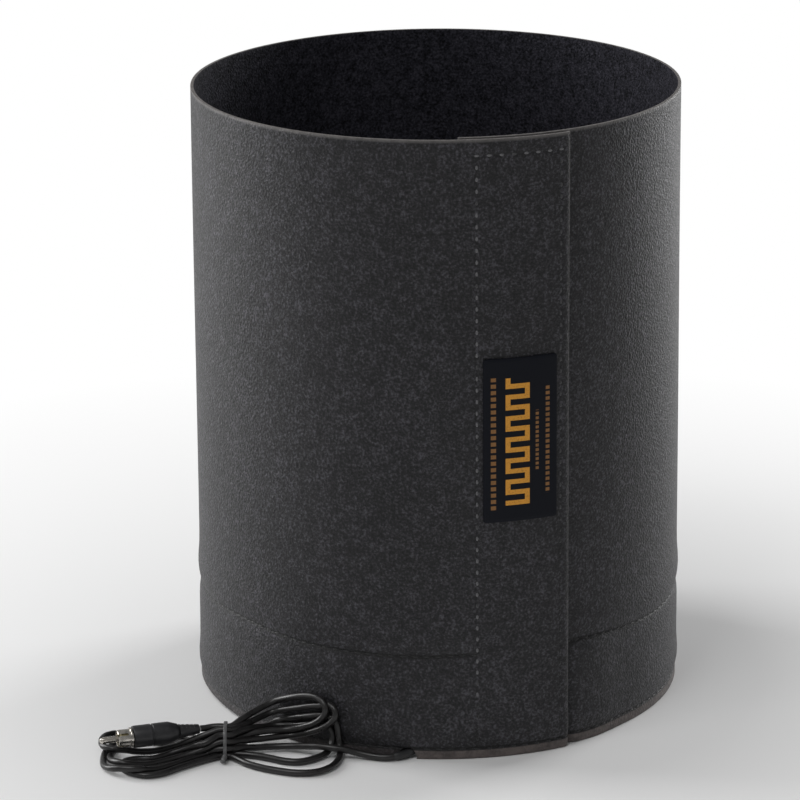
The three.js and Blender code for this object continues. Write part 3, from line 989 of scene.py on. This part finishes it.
    def stitch(self) -> bpy.types.Object:
        """One stitch, a short thread that dips into the sheet at both ends."""
        select_only()
        bpy.ops.mesh.primitive_uv_sphere_add(segments=8, ring_count=6, radius=1.0)
        stitch = bpy.context.object
        stitch.rotation_euler = (0, math.pi / 2, 0)
        bpy.ops.object.transform_apply(rotation=True)
        for vertex in stitch.data.vertices:
            length = vertex.co.x
            vertex.co.z -= 0.9 * length * length
        return stitch

    def stitch_run(
        self,
        name: str,
        spots: list[Spot],
        size: tuple[float, float, float],
        finish: bpy.types.Material,
    ) -> bpy.types.Object:
        """Sews a run of stitches onto the flat sheet and rolls it up.

        Args:
            name: The run's name.
            spots: Each stitch's place along and up the sheet, its distance out and its direction.
            size: A stitch's half length, half width and height, in metres.
            finish: The thread's material.

        Returns:
            The run.
        """
        one = self.stitch()
        run = bmesh.new()
        for along, up, out, heading in spots:
            before = len(run.verts)
            run.from_mesh(one.data)
            run.verts.ensure_lookup_table()
            move = Matrix.Translation((along, up, out)) @ Matrix.Rotation(heading, 4, "Z")
            move = move @ Matrix.Diagonal((*size, 1.0))
            bmesh.ops.transform(run, matrix=move, verts=run.verts[before:])
        bpy.data.objects.remove(one)
        mesh = bpy.data.meshes.new(name)
        run.to_mesh(mesh)
        run.free()
        piece = bpy.data.objects.new(name, mesh)
        bpy.context.scene.collection.objects.link(piece)
        self.roll.roll_up(piece)
        mesh.materials.append(finish)
        for face in mesh.polygons:
            face.use_smooth = True
        return piece

    def frame_spots(self, turn: float, bottom: float, out: float) -> list[Spot]:
        """Stitch places round the frame that holds a strip.

        Args:
            turn: 360 for the flap's frame and 0 for the inner end's.
            bottom: The frame's lowest row, in metres.
            out: The stitches' distance out from the sheet's face, in metres.

        Returns:
            Each stitch's place along and up the sheet, its distance out and its direction.
        """
        left = self.roll.along(self.left_row + turn)
        right = self.roll.along(self.right_row + turn)
        spots = []
        for up in spread(bottom, self.top_row, self.stitch_pitch)[1:-1]:
            spots += [(left, up, out, math.pi / 2), (right, up, out, math.pi / 2)]
        for along in spread(left, right, self.stitch_pitch):
            spots += [(along, self.top_row, out, 0.0), (along, bottom, out, 0.0)]
        return spots

    def sewing(self) -> None:
        """Sews the closure's frames and the pocket's two seams."""
        # The thread is black: the pale and grey finishes are black thread painted paler, a painted glint where light
        # catches the stitches.
        pale = SewingThread((0.15, 0.15, 0.158)).make("thread_painted_glint")
        grey = SewingThread((0.05, 0.05, 0.054)).make("thread_faint_painted_glint")
        dark = SewingThread((0.006, 0.006, 0.007)).make("dark_thread")
        out = 0.0
        size = (1.35 * MM, 0.58 * MM, 0.5 * MM)
        runs = {"pale": [], "grey": [], "dark": []}
        middle = self.roll.along(380)
        # Stitches low on the flap, and low along its edge, keep the dark thread; the rest get the painted glint, a
        # fainter one on every seventh stitch and along the edge.
        for number, spot in enumerate(self.frame_spots(360, self.bottom_row, out)):
            upright = spot[3] > 0
            by_edge = upright and spot[0] > middle
            if spot[1] < (self.dark_height_by_edge if by_edge else self.dark_height):
                runs["dark"].append(spot)
            elif by_edge or number % 7 == 3:
                runs["grey"].append(spot)
            else:
                runs["pale"].append(spot)
        threads = {"pale": pale, "grey": grey, "dark": dark}
        sewn = [self.stitch_run(key, spots, size, threads[key]) for key, spots in runs.items()]
        flap = join("flap_stitching", sewn)
        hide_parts("hook_stitching")
        self.finish(flap, "sewing_thread")
        inner = -self.roll.thickness - 0.05 * MM
        below = (1.25 * MM, 0.42 * MM, -0.42 * MM)
        inside = self.stitch_run("inner_stitching", self.frame_spots(0, 56.8 * MM, inner), below, dark)
        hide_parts("loop_stitching")
        self.finish(inside, "sewing_thread")
        long = (2.0 * MM, 0.4 * MM, 0.42 * MM)
        seam_ends = (self.roll.along(self.seam_start), self.roll.along(self.seam_end))
        upper = []
        for along in spread(*seam_ends, self.stitch_pitch):
            upper.append((along, self.roll.seam_height(self.roll.angle(along)), out, 0.0))
        seam = self.stitch_run("upper_seam_stitching", upper, long, dark)
        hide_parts("upper_seam")
        self.finish(seam, "sewing_thread")
        lower, end = [], []
        for along in spread(*seam_ends, self.stitch_pitch):
            angle = self.roll.angle(along)
            if angle < self.port_angle - self.port_margin:
                lower.append((along, self.roll.lower_seam, out, 0.0))
            elif angle > self.port_angle + self.port_margin:
                end.append((along, self.roll.lower_seam, out, 0.0))
        for name, spots, node in (
            ("lower_seam_stitching", lower, "lower_seam"),
            ("lower_seam_last_stitches", end, "lower_seam_end"),
        ):
            run = self.stitch_run(name, spots, long, dark)
            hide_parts(node)
            self.finish(run, "sewing_thread")

    def patch(self) -> None:
        """Makes the printed patch with its rounded corners and lays it on the flap."""
        left = self.roll.along(self.patch_angle + 360) - self.patch_width / 2
        bottom = self.patch_middle - self.patch_height / 2
        columns = spread(left, left + self.patch_width, 1.4 * MM)
        rows = spread(bottom, bottom + self.patch_height, 2.0 * MM)
        patch = flat_grid("printed_patch", columns, rows)
        corners = [
            v.index
            for v in patch.data.vertices
            if min(abs(v.co.x - columns[0]), abs(v.co.x - columns[-1])) < 0.01 * MM
            if min(abs(v.co.y - rows[0]), abs(v.co.y - rows[-1])) < 0.01 * MM
        ]
        for loop in patch.data.loops:
            place = patch.data.vertices[loop.vertex_index].co
            patch.data.uv_layers["flat"].data[loop.index].uv = (place.x - left, place.y - bottom)
        select_only(patch)
        bpy.ops.object.mode_set(mode="EDIT")
        bpy.ops.mesh.select_mode(type="VERT")
        bpy.ops.mesh.select_all(action="DESELECT")
        bpy.ops.object.mode_set(mode="OBJECT")
        for index in corners:
            patch.data.vertices[index].select = True
        bpy.ops.object.mode_set(mode="EDIT")
        bpy.ops.mesh.bevel(offset=1.2 * MM, segments=4, affect="VERTICES", clamp_overlap=False)
        bpy.ops.object.mode_set(mode="OBJECT")
        thicken(patch, self.patch_thickness, 0.2 * MM)
        for vertex in patch.data.vertices:
            vertex.co.z += self.seat_gap + self.patch_thickness
        self.roll.roll_up(patch)
        smooth(patch)
        patch.data.materials.append(PrintedPatch().make())
        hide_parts("flap_patch")
        self.finish(patch, "printed_patch")

    def build(self) -> None:
        """Builds the sheet and everything sewn to it."""
        self.sheet()
        hook = -self.roll.thickness - self.seat_gap
        self.strip("hook_tape", "hook_strip", 360, hook, self.hook_thickness, 0.15 * MM)
        loop = self.seat_gap + self.loop_thickness
        self.strip("loop_tape", "loop_strip", 0, loop, self.loop_thickness, 0.35 * MM)
        self.sewing()
        self.patch()


@dataclass
class HeaterPocket:
    """The cloth cover inside the base and the heating ribbon behind it."""

    roll: Roll = field(default_factory=Roll)
    thickness: float = 0.9 * MM
    end_margin: float = 5 * MM
    pucker_pitch: float = 5.5 * MM

    def section(self) -> list[tuple[float, float]]:
        """The cover's section: heights and distances out, in millimetres."""
        hem, deep = -1.8, -6.2
        return [
            (2.0, hem), (3.6, hem), (4.6, hem), (5.0, hem + 0.15), (5.4, hem), (6.6, hem), (8.0, hem - 0.3),
            (9.5, hem - 2.0), (11.0, deep + 0.7), (12.6, deep), (16, deep), (21, deep), (26, deep), (31, deep),
            (36, deep), (40, deep), (43.9, deep), (45.5, deep + 0.7), (47, hem - 2.0), (48.5, hem - 0.3),
            (50, hem), (51.1, hem), (51.5, hem + 0.15), (51.9, hem), (53.2, hem), (54.5, hem),
        ]

    def cover(self) -> None:
        """Makes the cloth cover with its sewn puckers, open where the sleeve passes."""
        section = self.section()
        left = self.end_margin
        right = self.roll.along(self.roll.start + 360) - self.end_margin
        columns = spread(left, right, 1.6 * MM)
        cover = flat_grid("pocket_cover", columns, [height * MM for height, _ in section])
        heights = {round(height, 3): out for height, out in section}
        for vertex in cover.data.vertices:
            height, out = vertex.co.y / MM, heights[round(vertex.co.y / MM, 3)]
            near_seam = bell(height, 10, 4) + bell(height, 46.5, 4)
            wave = math.sin(vertex.co.x / self.pucker_pitch * math.pi + 0.6 * math.sin(vertex.co.x * 90))
            slack = 0.45 * math.sin(vertex.co.x * 61) * bell(height, 28, 14)
            vertex.co.z = (out + 0.3 * near_seam * wave + slack) * MM
        thicken(cover, self.thickness, 0)
        cut_out(cover, self.passage())
        self.roll.roll_up(cover)
        smooth(cover, 60)
        cloth = WovenCloth((0.013, 0.013, 0.015), 0.55 * MM, 0.6)
        cover.data.materials.append(cloth.make("pocket_cloth"))
        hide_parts("heater_cover")
        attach(cover, "root")
        log.info("pocket_cover: %d faces", len(cover.data.polygons))

    def passage(self) -> bpy.types.Object:
        """The cutter of the sleeve's way through the cover's hem, in the flat piece."""
        select_only()
        place = (self.roll.along(355.0), 6 * MM, -3 * MM)
        bpy.ops.mesh.primitive_cylinder_add(
            vertices=32, radius=2.6 * MM, depth=20 * MM, location=place
        )
        cutter = bpy.context.object
        cutter.rotation_euler = (math.pi / 2, 0, math.radians(-20))
        cutter.scale = (1.5, 1.0, 1.0)
        bpy.ops.object.transform_apply(location=False, rotation=True, scale=True)
        return cutter

    def build(self) -> None:
        """Builds the cover and dresses the ribbon behind it."""
        self.cover()
        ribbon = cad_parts["heater_ribbon"]
        ribbon.data.materials.clear()
        ribbon.data.materials.append(PlainPlastic((0.25, 0.07, 0.02), 0.35).make("heater_film"))


# The cord with its hank, tie and plug


class Way(Enum):
    """The ways that a strand takes through the tie, from the front to the back of each layer."""

    FRONT_1 = (-119.9, 1.65)
    FRONT_2 = (-118.4, 4.7)
    FRONT_3 = (-116.9, 7.6)
    FRONT_4 = (-115.3, 10.4)
    FRONT_5 = (-112.7, 12.2)
    BACK_1 = (-116.6, 1.65)
    BACK_2 = (-115.1, 4.6)
    BACK_3 = (-113.5, 7.5)
    BACK_4 = (-109.4, 12.5)


Route = list[tuple[float, float, float]]


@dataclass
class Cord:
    """The cord from the sleeve at the base, through its hank, to the plug. Routes are in mm."""

    diameter: float = 3.2 * MM
    tie_right: float = -99.6
    tie_left: float = -104.4
    exit: tuple[float, float, float] = (-22.2, -121.9, 2.1)
    squeeze_start: float = -125.0
    squeeze: float = 0.95
    length: float = 0.0

    def lead(self) -> Route:
        """From the sleeve's mouth, over the hank's right ends, to the tie."""
        return [
            self.exit, (-24.6, -122.5, 1.95), (-28.4, -122.1, 1.85), (-33.2, -120.8, 2.05),
            (-39, -119.6, 2.9), (-44.8, -119.4, 4.4), (-50, -119, 5.1), (-56, -117.2, 5.2), (-63, -113.8, 4.0),
            (-71, -110.8, 2.9), (-80, -110.4, 2.5), (-88, -112.6, 3.0), (-94, -115.4, 4.1),
        ]

    def left_loops(self) -> dict[str, Route]:
        """The four loops left of the tie, each with its way out first."""
        return {
            "third": [
                (-111, -117.9, 2.0), (-119.3, -123.9, 1.65), (-127.3, -131.3, 1.65), (-135.1, -137.2, 2.1),
                (-142.6, -142.2, 4.7), (-149.6, -141.6, 4.7), (-155.4, -139, 3.6), (-159.6, -132.8, 2.3),
                (-161, -123.5, 1.65), (-160.2, -112.5, 1.65), (-156, -103, 1.65), (-149, -98, 1.65),
                (-140, -96.8, 1.65), (-130, -99.4, 1.65), (-121.5, -104.2, 1.65), (-115.5, -109.3, 1.65),
                (-110.5, -113.6, 1.65),
            ],
            "front": [
                (-111, -119.2, 8.2), (-119.9, -117.8, 4.9), (-128.2, -118, 2.3), (-136.1, -122.4, 1.65),
                (-144.6, -122.9, 1.65), (-149.8, -125.6, 1.65), (-151.4, -130.5, 1.65), (-149.8, -135.6, 1.65),
                (-145, -140.4, 1.65), (-138.2, -143, 1.65), (-130.7, -140.8, 1.65), (-122.9, -133.9, 1.65),
                (-112.8, -125.4, 1.65),
            ],
            "second": [
                (-110.5, -113.6, 4.9), (-115.5, -111, 4.9), (-121.5, -107.6, 2.9), (-131, -103.6, 1.65),
                (-141, -101.4, 1.65), (-149.5, -103.2, 1.65), (-155, -109, 1.65), (-157.6, -118, 1.65),
                (-157.4, -126, 2.9), (-154.8, -132.2, 4.4), (-149.6, -135.9, 4.9), (-143.9, -133.8, 3.2),
                (-135.7, -128.8, 1.65), (-127.5, -123.9, 1.65), (-119.9, -120.8, 2.6), (-111.1, -118.6, 5.1),
            ],
            "rear": [
                (-111.3, -113.8, 10), (-119.8, -113.4, 6.4), (-128.2, -113, 3.4), (-136.1, -115, 2.4),
                (-144.5, -116.6, 2.8), (-150.5, -118, 4.2), (-156.5, -118.6, 4.9), (-161.4, -115.2, 4.9),
                (-163, -108, 4.9), (-161.6, -101.8, 4.7), (-157.4, -97.2, 4.0), (-150.5, -93.6, 2.4),
                (-141, -92.2, 1.65), (-131, -94.8, 1.9), (-123.5, -99.2, 3.2), (-117, -105.2, 4.8),
                (-111, -109.9, 6.6),
            ],
        }

    def right_loops(self) -> dict[str, Route]:
        """The four loops right of the tie, whose far sides lean on the tube's wall."""
        return {
            "middle": [
                (-93.5, -117.6, 1.65), (-87, -119.4, 1.65), (-80.4, -122.4, 1.65), (-73.7, -125.9, 1.65),
                (-67.3, -127, 1.65), (-62, -124.8, 1.65), (-57.3, -120.8, 1.65), (-53.6, -116.4, 2.3),
                (-51.8, -112.7, 5.0), (-51.2, -111.1, 8.6), (-52.6, -110.4, 12.0), (-56.4, -108.6, 13.4),
                (-62, -105.3, 11.9), (-71, -99.5, 9.0), (-79, -97.6, 8.2), (-84, -100.8, 8.8), (-88, -104.3, 9.9),
                (-92, -108.2, 10.8), (-95.8, -111.6, 10.7),
            ],
            "outer": [
                (-96.4, -122.8, 1.65), (-91, -129, 1.65), (-84.4, -133.7, 1.65), (-75.4, -138, 1.65),
                (-66.8, -140.3, 1.65), (-58.1, -139.2, 1.65), (-52, -133.8, 1.65), (-48.8, -126.5, 1.65),
                (-47.8, -119.5, 1.65), (-47.8, -114.6, 3.4), (-48.3, -112.5, 7.4), (-48.7, -112.1, 11.5),
                (-49.6, -111.7, 15.4), (-52.6, -110.3, 17.8), (-57.2, -107.9, 17.6), (-62.5, -104.9, 15.9),
                (-71, -99.2, 12.6), (-79.5, -93.4, 8.4), (-87, -97.6, 4.6), (-93, -106, 3.6), (-96.6, -110.6, 4.0),
            ],
            "tall": [
                (-95.6, -113.7, 6.9), (-92, -111.3, 6.2), (-86, -108.4, 5.6), (-80, -106, 5.4), (-70.1, -104.6, 6.0),
                (-64.5, -107.0, 7.9), (-60, -109.8, 10.2), (-56.2, -112, 12.6), (-52.4, -113.9, 15.7),
                (-49.9, -115, 19.2), (-49.9, -114, 22.4), (-52.6, -111.4, 23.9), (-57.2, -108.4, 22.6),
                (-63.2, -104.6, 20.7), (-72.3, -98.4, 16.8), (-80.8, -95, 13.8), (-88.4, -101.6, 12.7),
                (-94.5, -107.9, 12.2),
            ],
            "top": [
                (-95.6, -109.9, 7.1), (-92, -108.6, 7.7), (-88, -107.3, 8.4), (-81, -105.6, 8.7), (-73, -104.6, 8.9),
                (-66.5, -106.3, 10.6), (-61.5, -108.6, 13.0), (-57.8, -111.2, 16), (-55.2, -112.6, 19.2),
                (-54.2, -112.8, 22.7), (-55.8, -110.7, 25.5), (-60.5, -106.4, 26.4), (-69, -100.9, 24.2),
                (-79.7, -93.8, 18.8), (-88.4, -99.2, 16.2), (-94.5, -105, 14.4),
            ],
        }

    def through(self, way: Way, leftwards: bool) -> Route:
        """The two points of a strand at the tie."""
        ends = [(self.tie_right, *way.value), (self.tie_left, *way.value)]
        return ends if leftwards else ends[::-1]

    def route(self) -> list[Vector]:
        """The whole cord's points, from the sleeve to the plug's relief, in metres."""
        left, right = self.left_loops(), self.right_loops()
        points = self.lead()
        order = [
            (Way.FRONT_2, left["third"], Way.BACK_1, right["middle"]),
            (Way.FRONT_4, left["front"], Way.FRONT_1, right["outer"]),
            (Way.BACK_2, left["second"], Way.FRONT_3, right["tall"]),
            (Way.FRONT_5, left["rear"], Way.BACK_3, right["top"]),
        ]
        for way_left, left_loop, way_right, right_loop in order:
            points += self.through(way_left, True) + left_loop
            points += self.through(way_right, False) + right_loop
        points += self.through(Way.BACK_4, True)
        points += [(-108.6, -109.3, 12.2), (-112, -110.3, 12.0), (-113.9, -110.85, 12.0)]
        start = self.squeeze_start
        squeezed = [
            (start + (x - start) * self.squeeze if x < start else x, y, z) for x, y, z in points
        ]
        return [Vector(point) * MM for point in squeezed]

    def jacket(self) -> bpy.types.Object:
        """Lays the cord."""
        line = catmull_rom(self.route(), 1.6 * MM)
        for point in line:
            point.z = max(point.z, self.diameter / 2 + 0.02 * MM)
        self.length = sum((b - a).length for a, b in zip(line, line[1:]))
        cord = cord_curve("cord", line, self.diameter)
        cord.data.materials.append(SoftJacket().make("cord_jacket"))
        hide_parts("cord_lead", "cord_hank")
        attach(cord, "root")
        log.info("cord: %.3f m long", self.length)
        return cord

    def sleeve(self) -> bpy.types.Object:
        """Makes the heat-shrunk sleeve from inside the pocket to the cord's start."""
        roll = Roll()
        route = [
            (-3.6, 11.9, -3.9), (-4.5, 8.2, -3.9), (-5.8, 4.0, -3.5),
            (-7.5, 2.4, -0.9), (-8.9, 2.2, 1.9), (-10.4, 2.1, 3.6),
        ]
        points = [roll.point(angle + 360, height * MM, out * MM) for angle, height, out in route]
        points[-1] = Vector(self.exit) * MM
        line = catmull_rom(points, 0.8 * MM)
        sleeve = cord_curve("exit_sleeve_tube", line, 4.0 * MM, 5)
        last = len(line) - 1
        for i, point in enumerate(sleeve.data.splines[0].points):
            end = min(i, last - i)
            point.radius = (0.86 + 0.14 * min(1.0, end / 2)) * (1 + 0.02 * math.sin(1.9 * i))
        sleeve = to_mesh(sleeve)
        smooth(sleeve, 50)
        sleeve.data.materials.append(SoftJacket((0.016, 0.016, 0.017), 0.42).make("heat_shrink"))
        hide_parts("exit_sleeve")
        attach(sleeve, "root")
        return sleeve

    def tie(self) -> bpy.types.Object:
        """Makes the wire tie: a flat band round the strands and its twisted ends."""
        outline = self.tie_outline(0.35)
        half = 0.85
        band = bpy.data.meshes.new("hank_tie_band")
        count = len(outline)
        points = [(-101.9 + side * half, y, z) for side in (-1, 1) for y, z in outline]
        faces = [(i, (i + 1) % count, count + (i + 1) % count, count + i) for i in range(count)]
        band.from_pydata([Vector(p) * MM for p in points], [], faces)
        ring = bpy.data.objects.new("hank_tie_band", band)
        bpy.context.scene.collection.objects.link(ring)
        tidy_normals(ring)
        thicken(ring, -0.55 * MM, 0.16 * MM)
        tidy_normals(ring)
        twists = [to_mesh(self.twist(turn)) for turn in (0.0, math.pi)]
        tie = join("wire_tie", [ring, *twists])
        smooth(tie, 50)
        tie.data.materials.clear()
        tie.data.materials.append(PlainPlastic((0.12, 0.12, 0.122), 0.22).make("tie_plastic"))
        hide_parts("hank_tie")
        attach(tie, "root")
        return tie

    def tie_outline(self, gap: float) -> list[tuple[float, float]]:
        """The band's closed line round all the strands, in the plane across the tie.

        Args:
            gap: The space between the strands and the band, in millimetres.

        Returns:
            The line's points along Y and Z, in millimetres.
        """
        ways = [way.value for way in Way]
        reach = self.diameter / 2 / MM + gap
        middle = (sum(y for y, _ in ways) / len(ways), sum(z for _, z in ways) / len(ways))

        def far(turn: float) -> float:
            """How far the strands' middles reach in a direction."""
            aim = (math.cos(turn), math.sin(turn))
            return max((y - middle[0]) * aim[0] + (z - middle[1]) * aim[1] for y, z in ways)

        count, nudge, lowest = 56, 0.01, 0.7
        outline = []
        for i in range(count):
            turn = 2 * math.pi * i / count
            slope = (far(turn + nudge) - far(turn)) / nudge
            out = far(turn) + reach
            y = middle[0] + out * math.cos(turn) - slope * math.sin(turn)
            z = middle[1] + out * math.sin(turn) + slope * math.cos(turn)
            outline.append((y, max(lowest, z)))
        return outline

    def twist(self, phase: float) -> bpy.types.Object:
        """One of the tie's two twisted ends, at the hank's lower front."""
        start = Vector((-101.9, -122.3, 2.6))
        along = Vector((-0.15, -0.8, -0.25)).normalized()
        side = along.cross(Vector((0, 0, 1))).normalized()
        rise = side.cross(along)
        line = []
        for i in range(22):
            turn = phase + i * 0.62
            ring = side * math.cos(turn) + rise * math.sin(turn)
            line.append((start + along * (0.2 * i) + ring * 0.72) * MM)
        return cord_curve("tie_end", line, 1.35 * MM, 2)


@dataclass
class PhonoPlug:
    """The plug on the cord's end, modelled along its own axis with the pin towards +Z."""

    front: tuple[float, float, float] = (-145.25, -121.05, 12.0)
    heading: float = 18.0
    steps: int = 48

    def place(self, piece: bpy.types.Object) -> None:
        """Turns a piece from its own axis onto the plug's place."""
        aim = Matrix.Rotation(math.radians(self.heading), 4, "Z") @ Matrix.Rotation(-math.pi / 2, 4, "Y")
        move = Matrix.Translation(Vector(self.front) * MM) @ aim
        piece.data.transform(move)
        piece.matrix_world = Matrix.Identity(4)

    def turned(self, name: str, profile: list[tuple[float, float]]) -> bpy.types.Object:
        """Spins a profile round the plug's axis.

        Args:
            name: The piece's name.
            profile: Radii and places along the axis, in millimetres.

        Returns:
            The turned piece, still on its own axis.
        """
        mesh = bpy.data.meshes.new(name)
        points = [(radius * MM, 0.0, place * MM) for radius, place in profile]
        mesh.from_pydata(points, [(i, i + 1) for i in range(len(points) - 1)], [])
        piece = bpy.data.objects.new(name, mesh)
        bpy.context.scene.collection.objects.link(piece)
        select_only(piece)
        bpy.ops.object.mode_set(mode="EDIT")
        bpy.ops.mesh.select_all(action="SELECT")
        bpy.ops.mesh.spin(steps=self.steps, angle=2 * math.pi, center=(0, 0, 0), axis=(0, 0, 1))
        bpy.ops.object.mode_set(mode="OBJECT")
        tidy_normals(piece)
        return piece

    def block(
        self, size: tuple[float, float, float], place: tuple[float, float, float], turn: float = 0.0
    ) -> bpy.types.Object:
        """A cutter block on the plug's own axis, in millimetres."""
        select_only()
        bpy.ops.mesh.primitive_cube_add(size=1.0)
        cutter = bpy.context.object
        cutter.data.transform(Matrix.Diagonal((*[s * MM for s in size], 1.0)))
        cutter.data.transform(Matrix.Translation(Vector(place) * MM))
        cutter.data.transform(Matrix.Rotation(turn, 4, "Z"))
        return cutter

    def hand_over(
        self, piece: bpy.types.Object, node: str, material: bpy.types.Material
    ) -> bpy.types.Object:
        """Places, dresses and attaches one piece of the plug, and hides the CAD node that it stands for.

        Args:
            piece: The piece, still on its own axis.
            node: The CAD node that it stands for.
            material: Its finish.

        Returns:
            The piece.
        """
        self.place(piece)
        smooth(piece, 40)
        piece.data.materials.clear()
        piece.data.materials.append(material)
        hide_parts(node)
        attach(piece, "root")
        return piece

    def barrel(self) -> bpy.types.Object:
        """The moulded barrel with its ring groove and faint grip ribs."""
        profile = [(0, -22.2), (3.3, -22.2), (3.75, -21.8), (4.2, -20.6), (5.0, -18.2), (5.25, -17.4)]
        profile += [(5.3, -16.2), (5.3, -9.75), (5.15, -9.6), (4.85, -9.45), (4.85, -8.95), (5.15, -8.8), (5.3, -8.65)]
        profile += [(5.3, -0.6), (5.15, -0.15), (4.8, 0), (0, 0)]
        piece = self.turned("plug_barrel_shell", profile)
        material = SoftJacket((0.016, 0.016, 0.018), 0.36).make("plug_plastic")
        return self.hand_over(piece, "plug_barrel", material)

    def relief(self) -> bpy.types.Object:
        """The slotted, tapering strain relief."""
        profile = [(0, -32.4), (1.75, -32.4), (2.15, -32.2), (2.3, -31.8)]
        profile += [(3.3, -23.0), (3.45, -22.6), (3.3, -22.5), (0, -22.5)]
        piece = self.turned("plug_relief_boot", profile)
        cutters = []
        for i in range(4):
            place = -24.3 - 2.0 * i
            radius = 3.15 - 0.23 * i
            for side in (-1, 1):
                cutters.append(self.block((4, 6, 0.75), (side * (radius + 1.25), 0, place + 0.5 * side)))
        cut_out(piece, *cutters)
        material = SoftJacket((0.019, 0.019, 0.021), 0.4).make("relief_plastic")
        return self.hand_over(piece, "plug_relief", material)

    def shell(self) -> bpy.types.Object:
        """The slotted outer shell with its flange."""
        profile = [(0, 0.3), (4.7, 0.3), (4.8, 0.45), (4.8, 1.3), (4.65, 1.5), (4.2, 1.55), (4.12, 2.2), (4.2, 3.2)]
        profile += [(4.22, 6.4), (4.05, 7.3), (3.78, 7.5), (3.68, 7.3), (3.72, 6.2), (3.7, 1.9), (0, 1.9)]
        piece = self.turned("plug_shell_ring", profile)
        cutters = [self.block((5, 1.1, 5.2), (4.4, 0, 5.2), math.pi / 4 + i * math.pi / 2) for i in range(4)]
        cut_out(piece, *cutters)
        return self.hand_over(piece, "plug_shell", NickelPlate().make())

    def insulator(self) -> bpy.types.Object:
        """The moulded insulator inside the shell."""
        profile = [(1.7, 2.0), (3.4, 2.0), (3.45, 5.4), (3.2, 5.9), (2.2, 6.2), (1.7, 6.1), (1.7, 2.0)]
        piece = self.turned("plug_insulator_ring", profile)
        material = PlainPlastic((0.23, 0.19, 0.075), 0.45).make("plug_insulation")
        return self.hand_over(piece, "plug_insulator", material)

    def pin(self) -> bpy.types.Object:
        """The hollow centre pin with its rounded tip."""
        profile = [(0, 2.0), (1.6, 2.0), (1.6, 13.6), (1.5, 14.6), (1.2, 15.4), (0.7, 15.9), (0.3, 16.05), (0, 16.1)]
        piece = self.turned("plug_pin_rod", profile)
        return self.hand_over(piece, "plug_pin", NickelPlate((0.7, 0.66, 0.6)).make("pin_nickel"))

    def build(self) -> list[bpy.types.Object]:
        """Builds the plug.

        Returns:
            Its pieces.
        """
        return [self.relief(), self.barrel(), self.shell(), self.insulator(), self.pin()]


def main() -> None:
    """Builds the studio, the cord, the shield and the heater pocket."""
    logging.basicConfig(level=logging.INFO, format="%(message)s")
    Studio().build()
    cord = Cord()
    jacket = cord.jacket()
    pieces = [cord.sleeve(), cord.tie(), *PhonoPlug().build()]
    Shield().build()
    HeaterPocket().build()


if __name__ == "__main__":
    main()
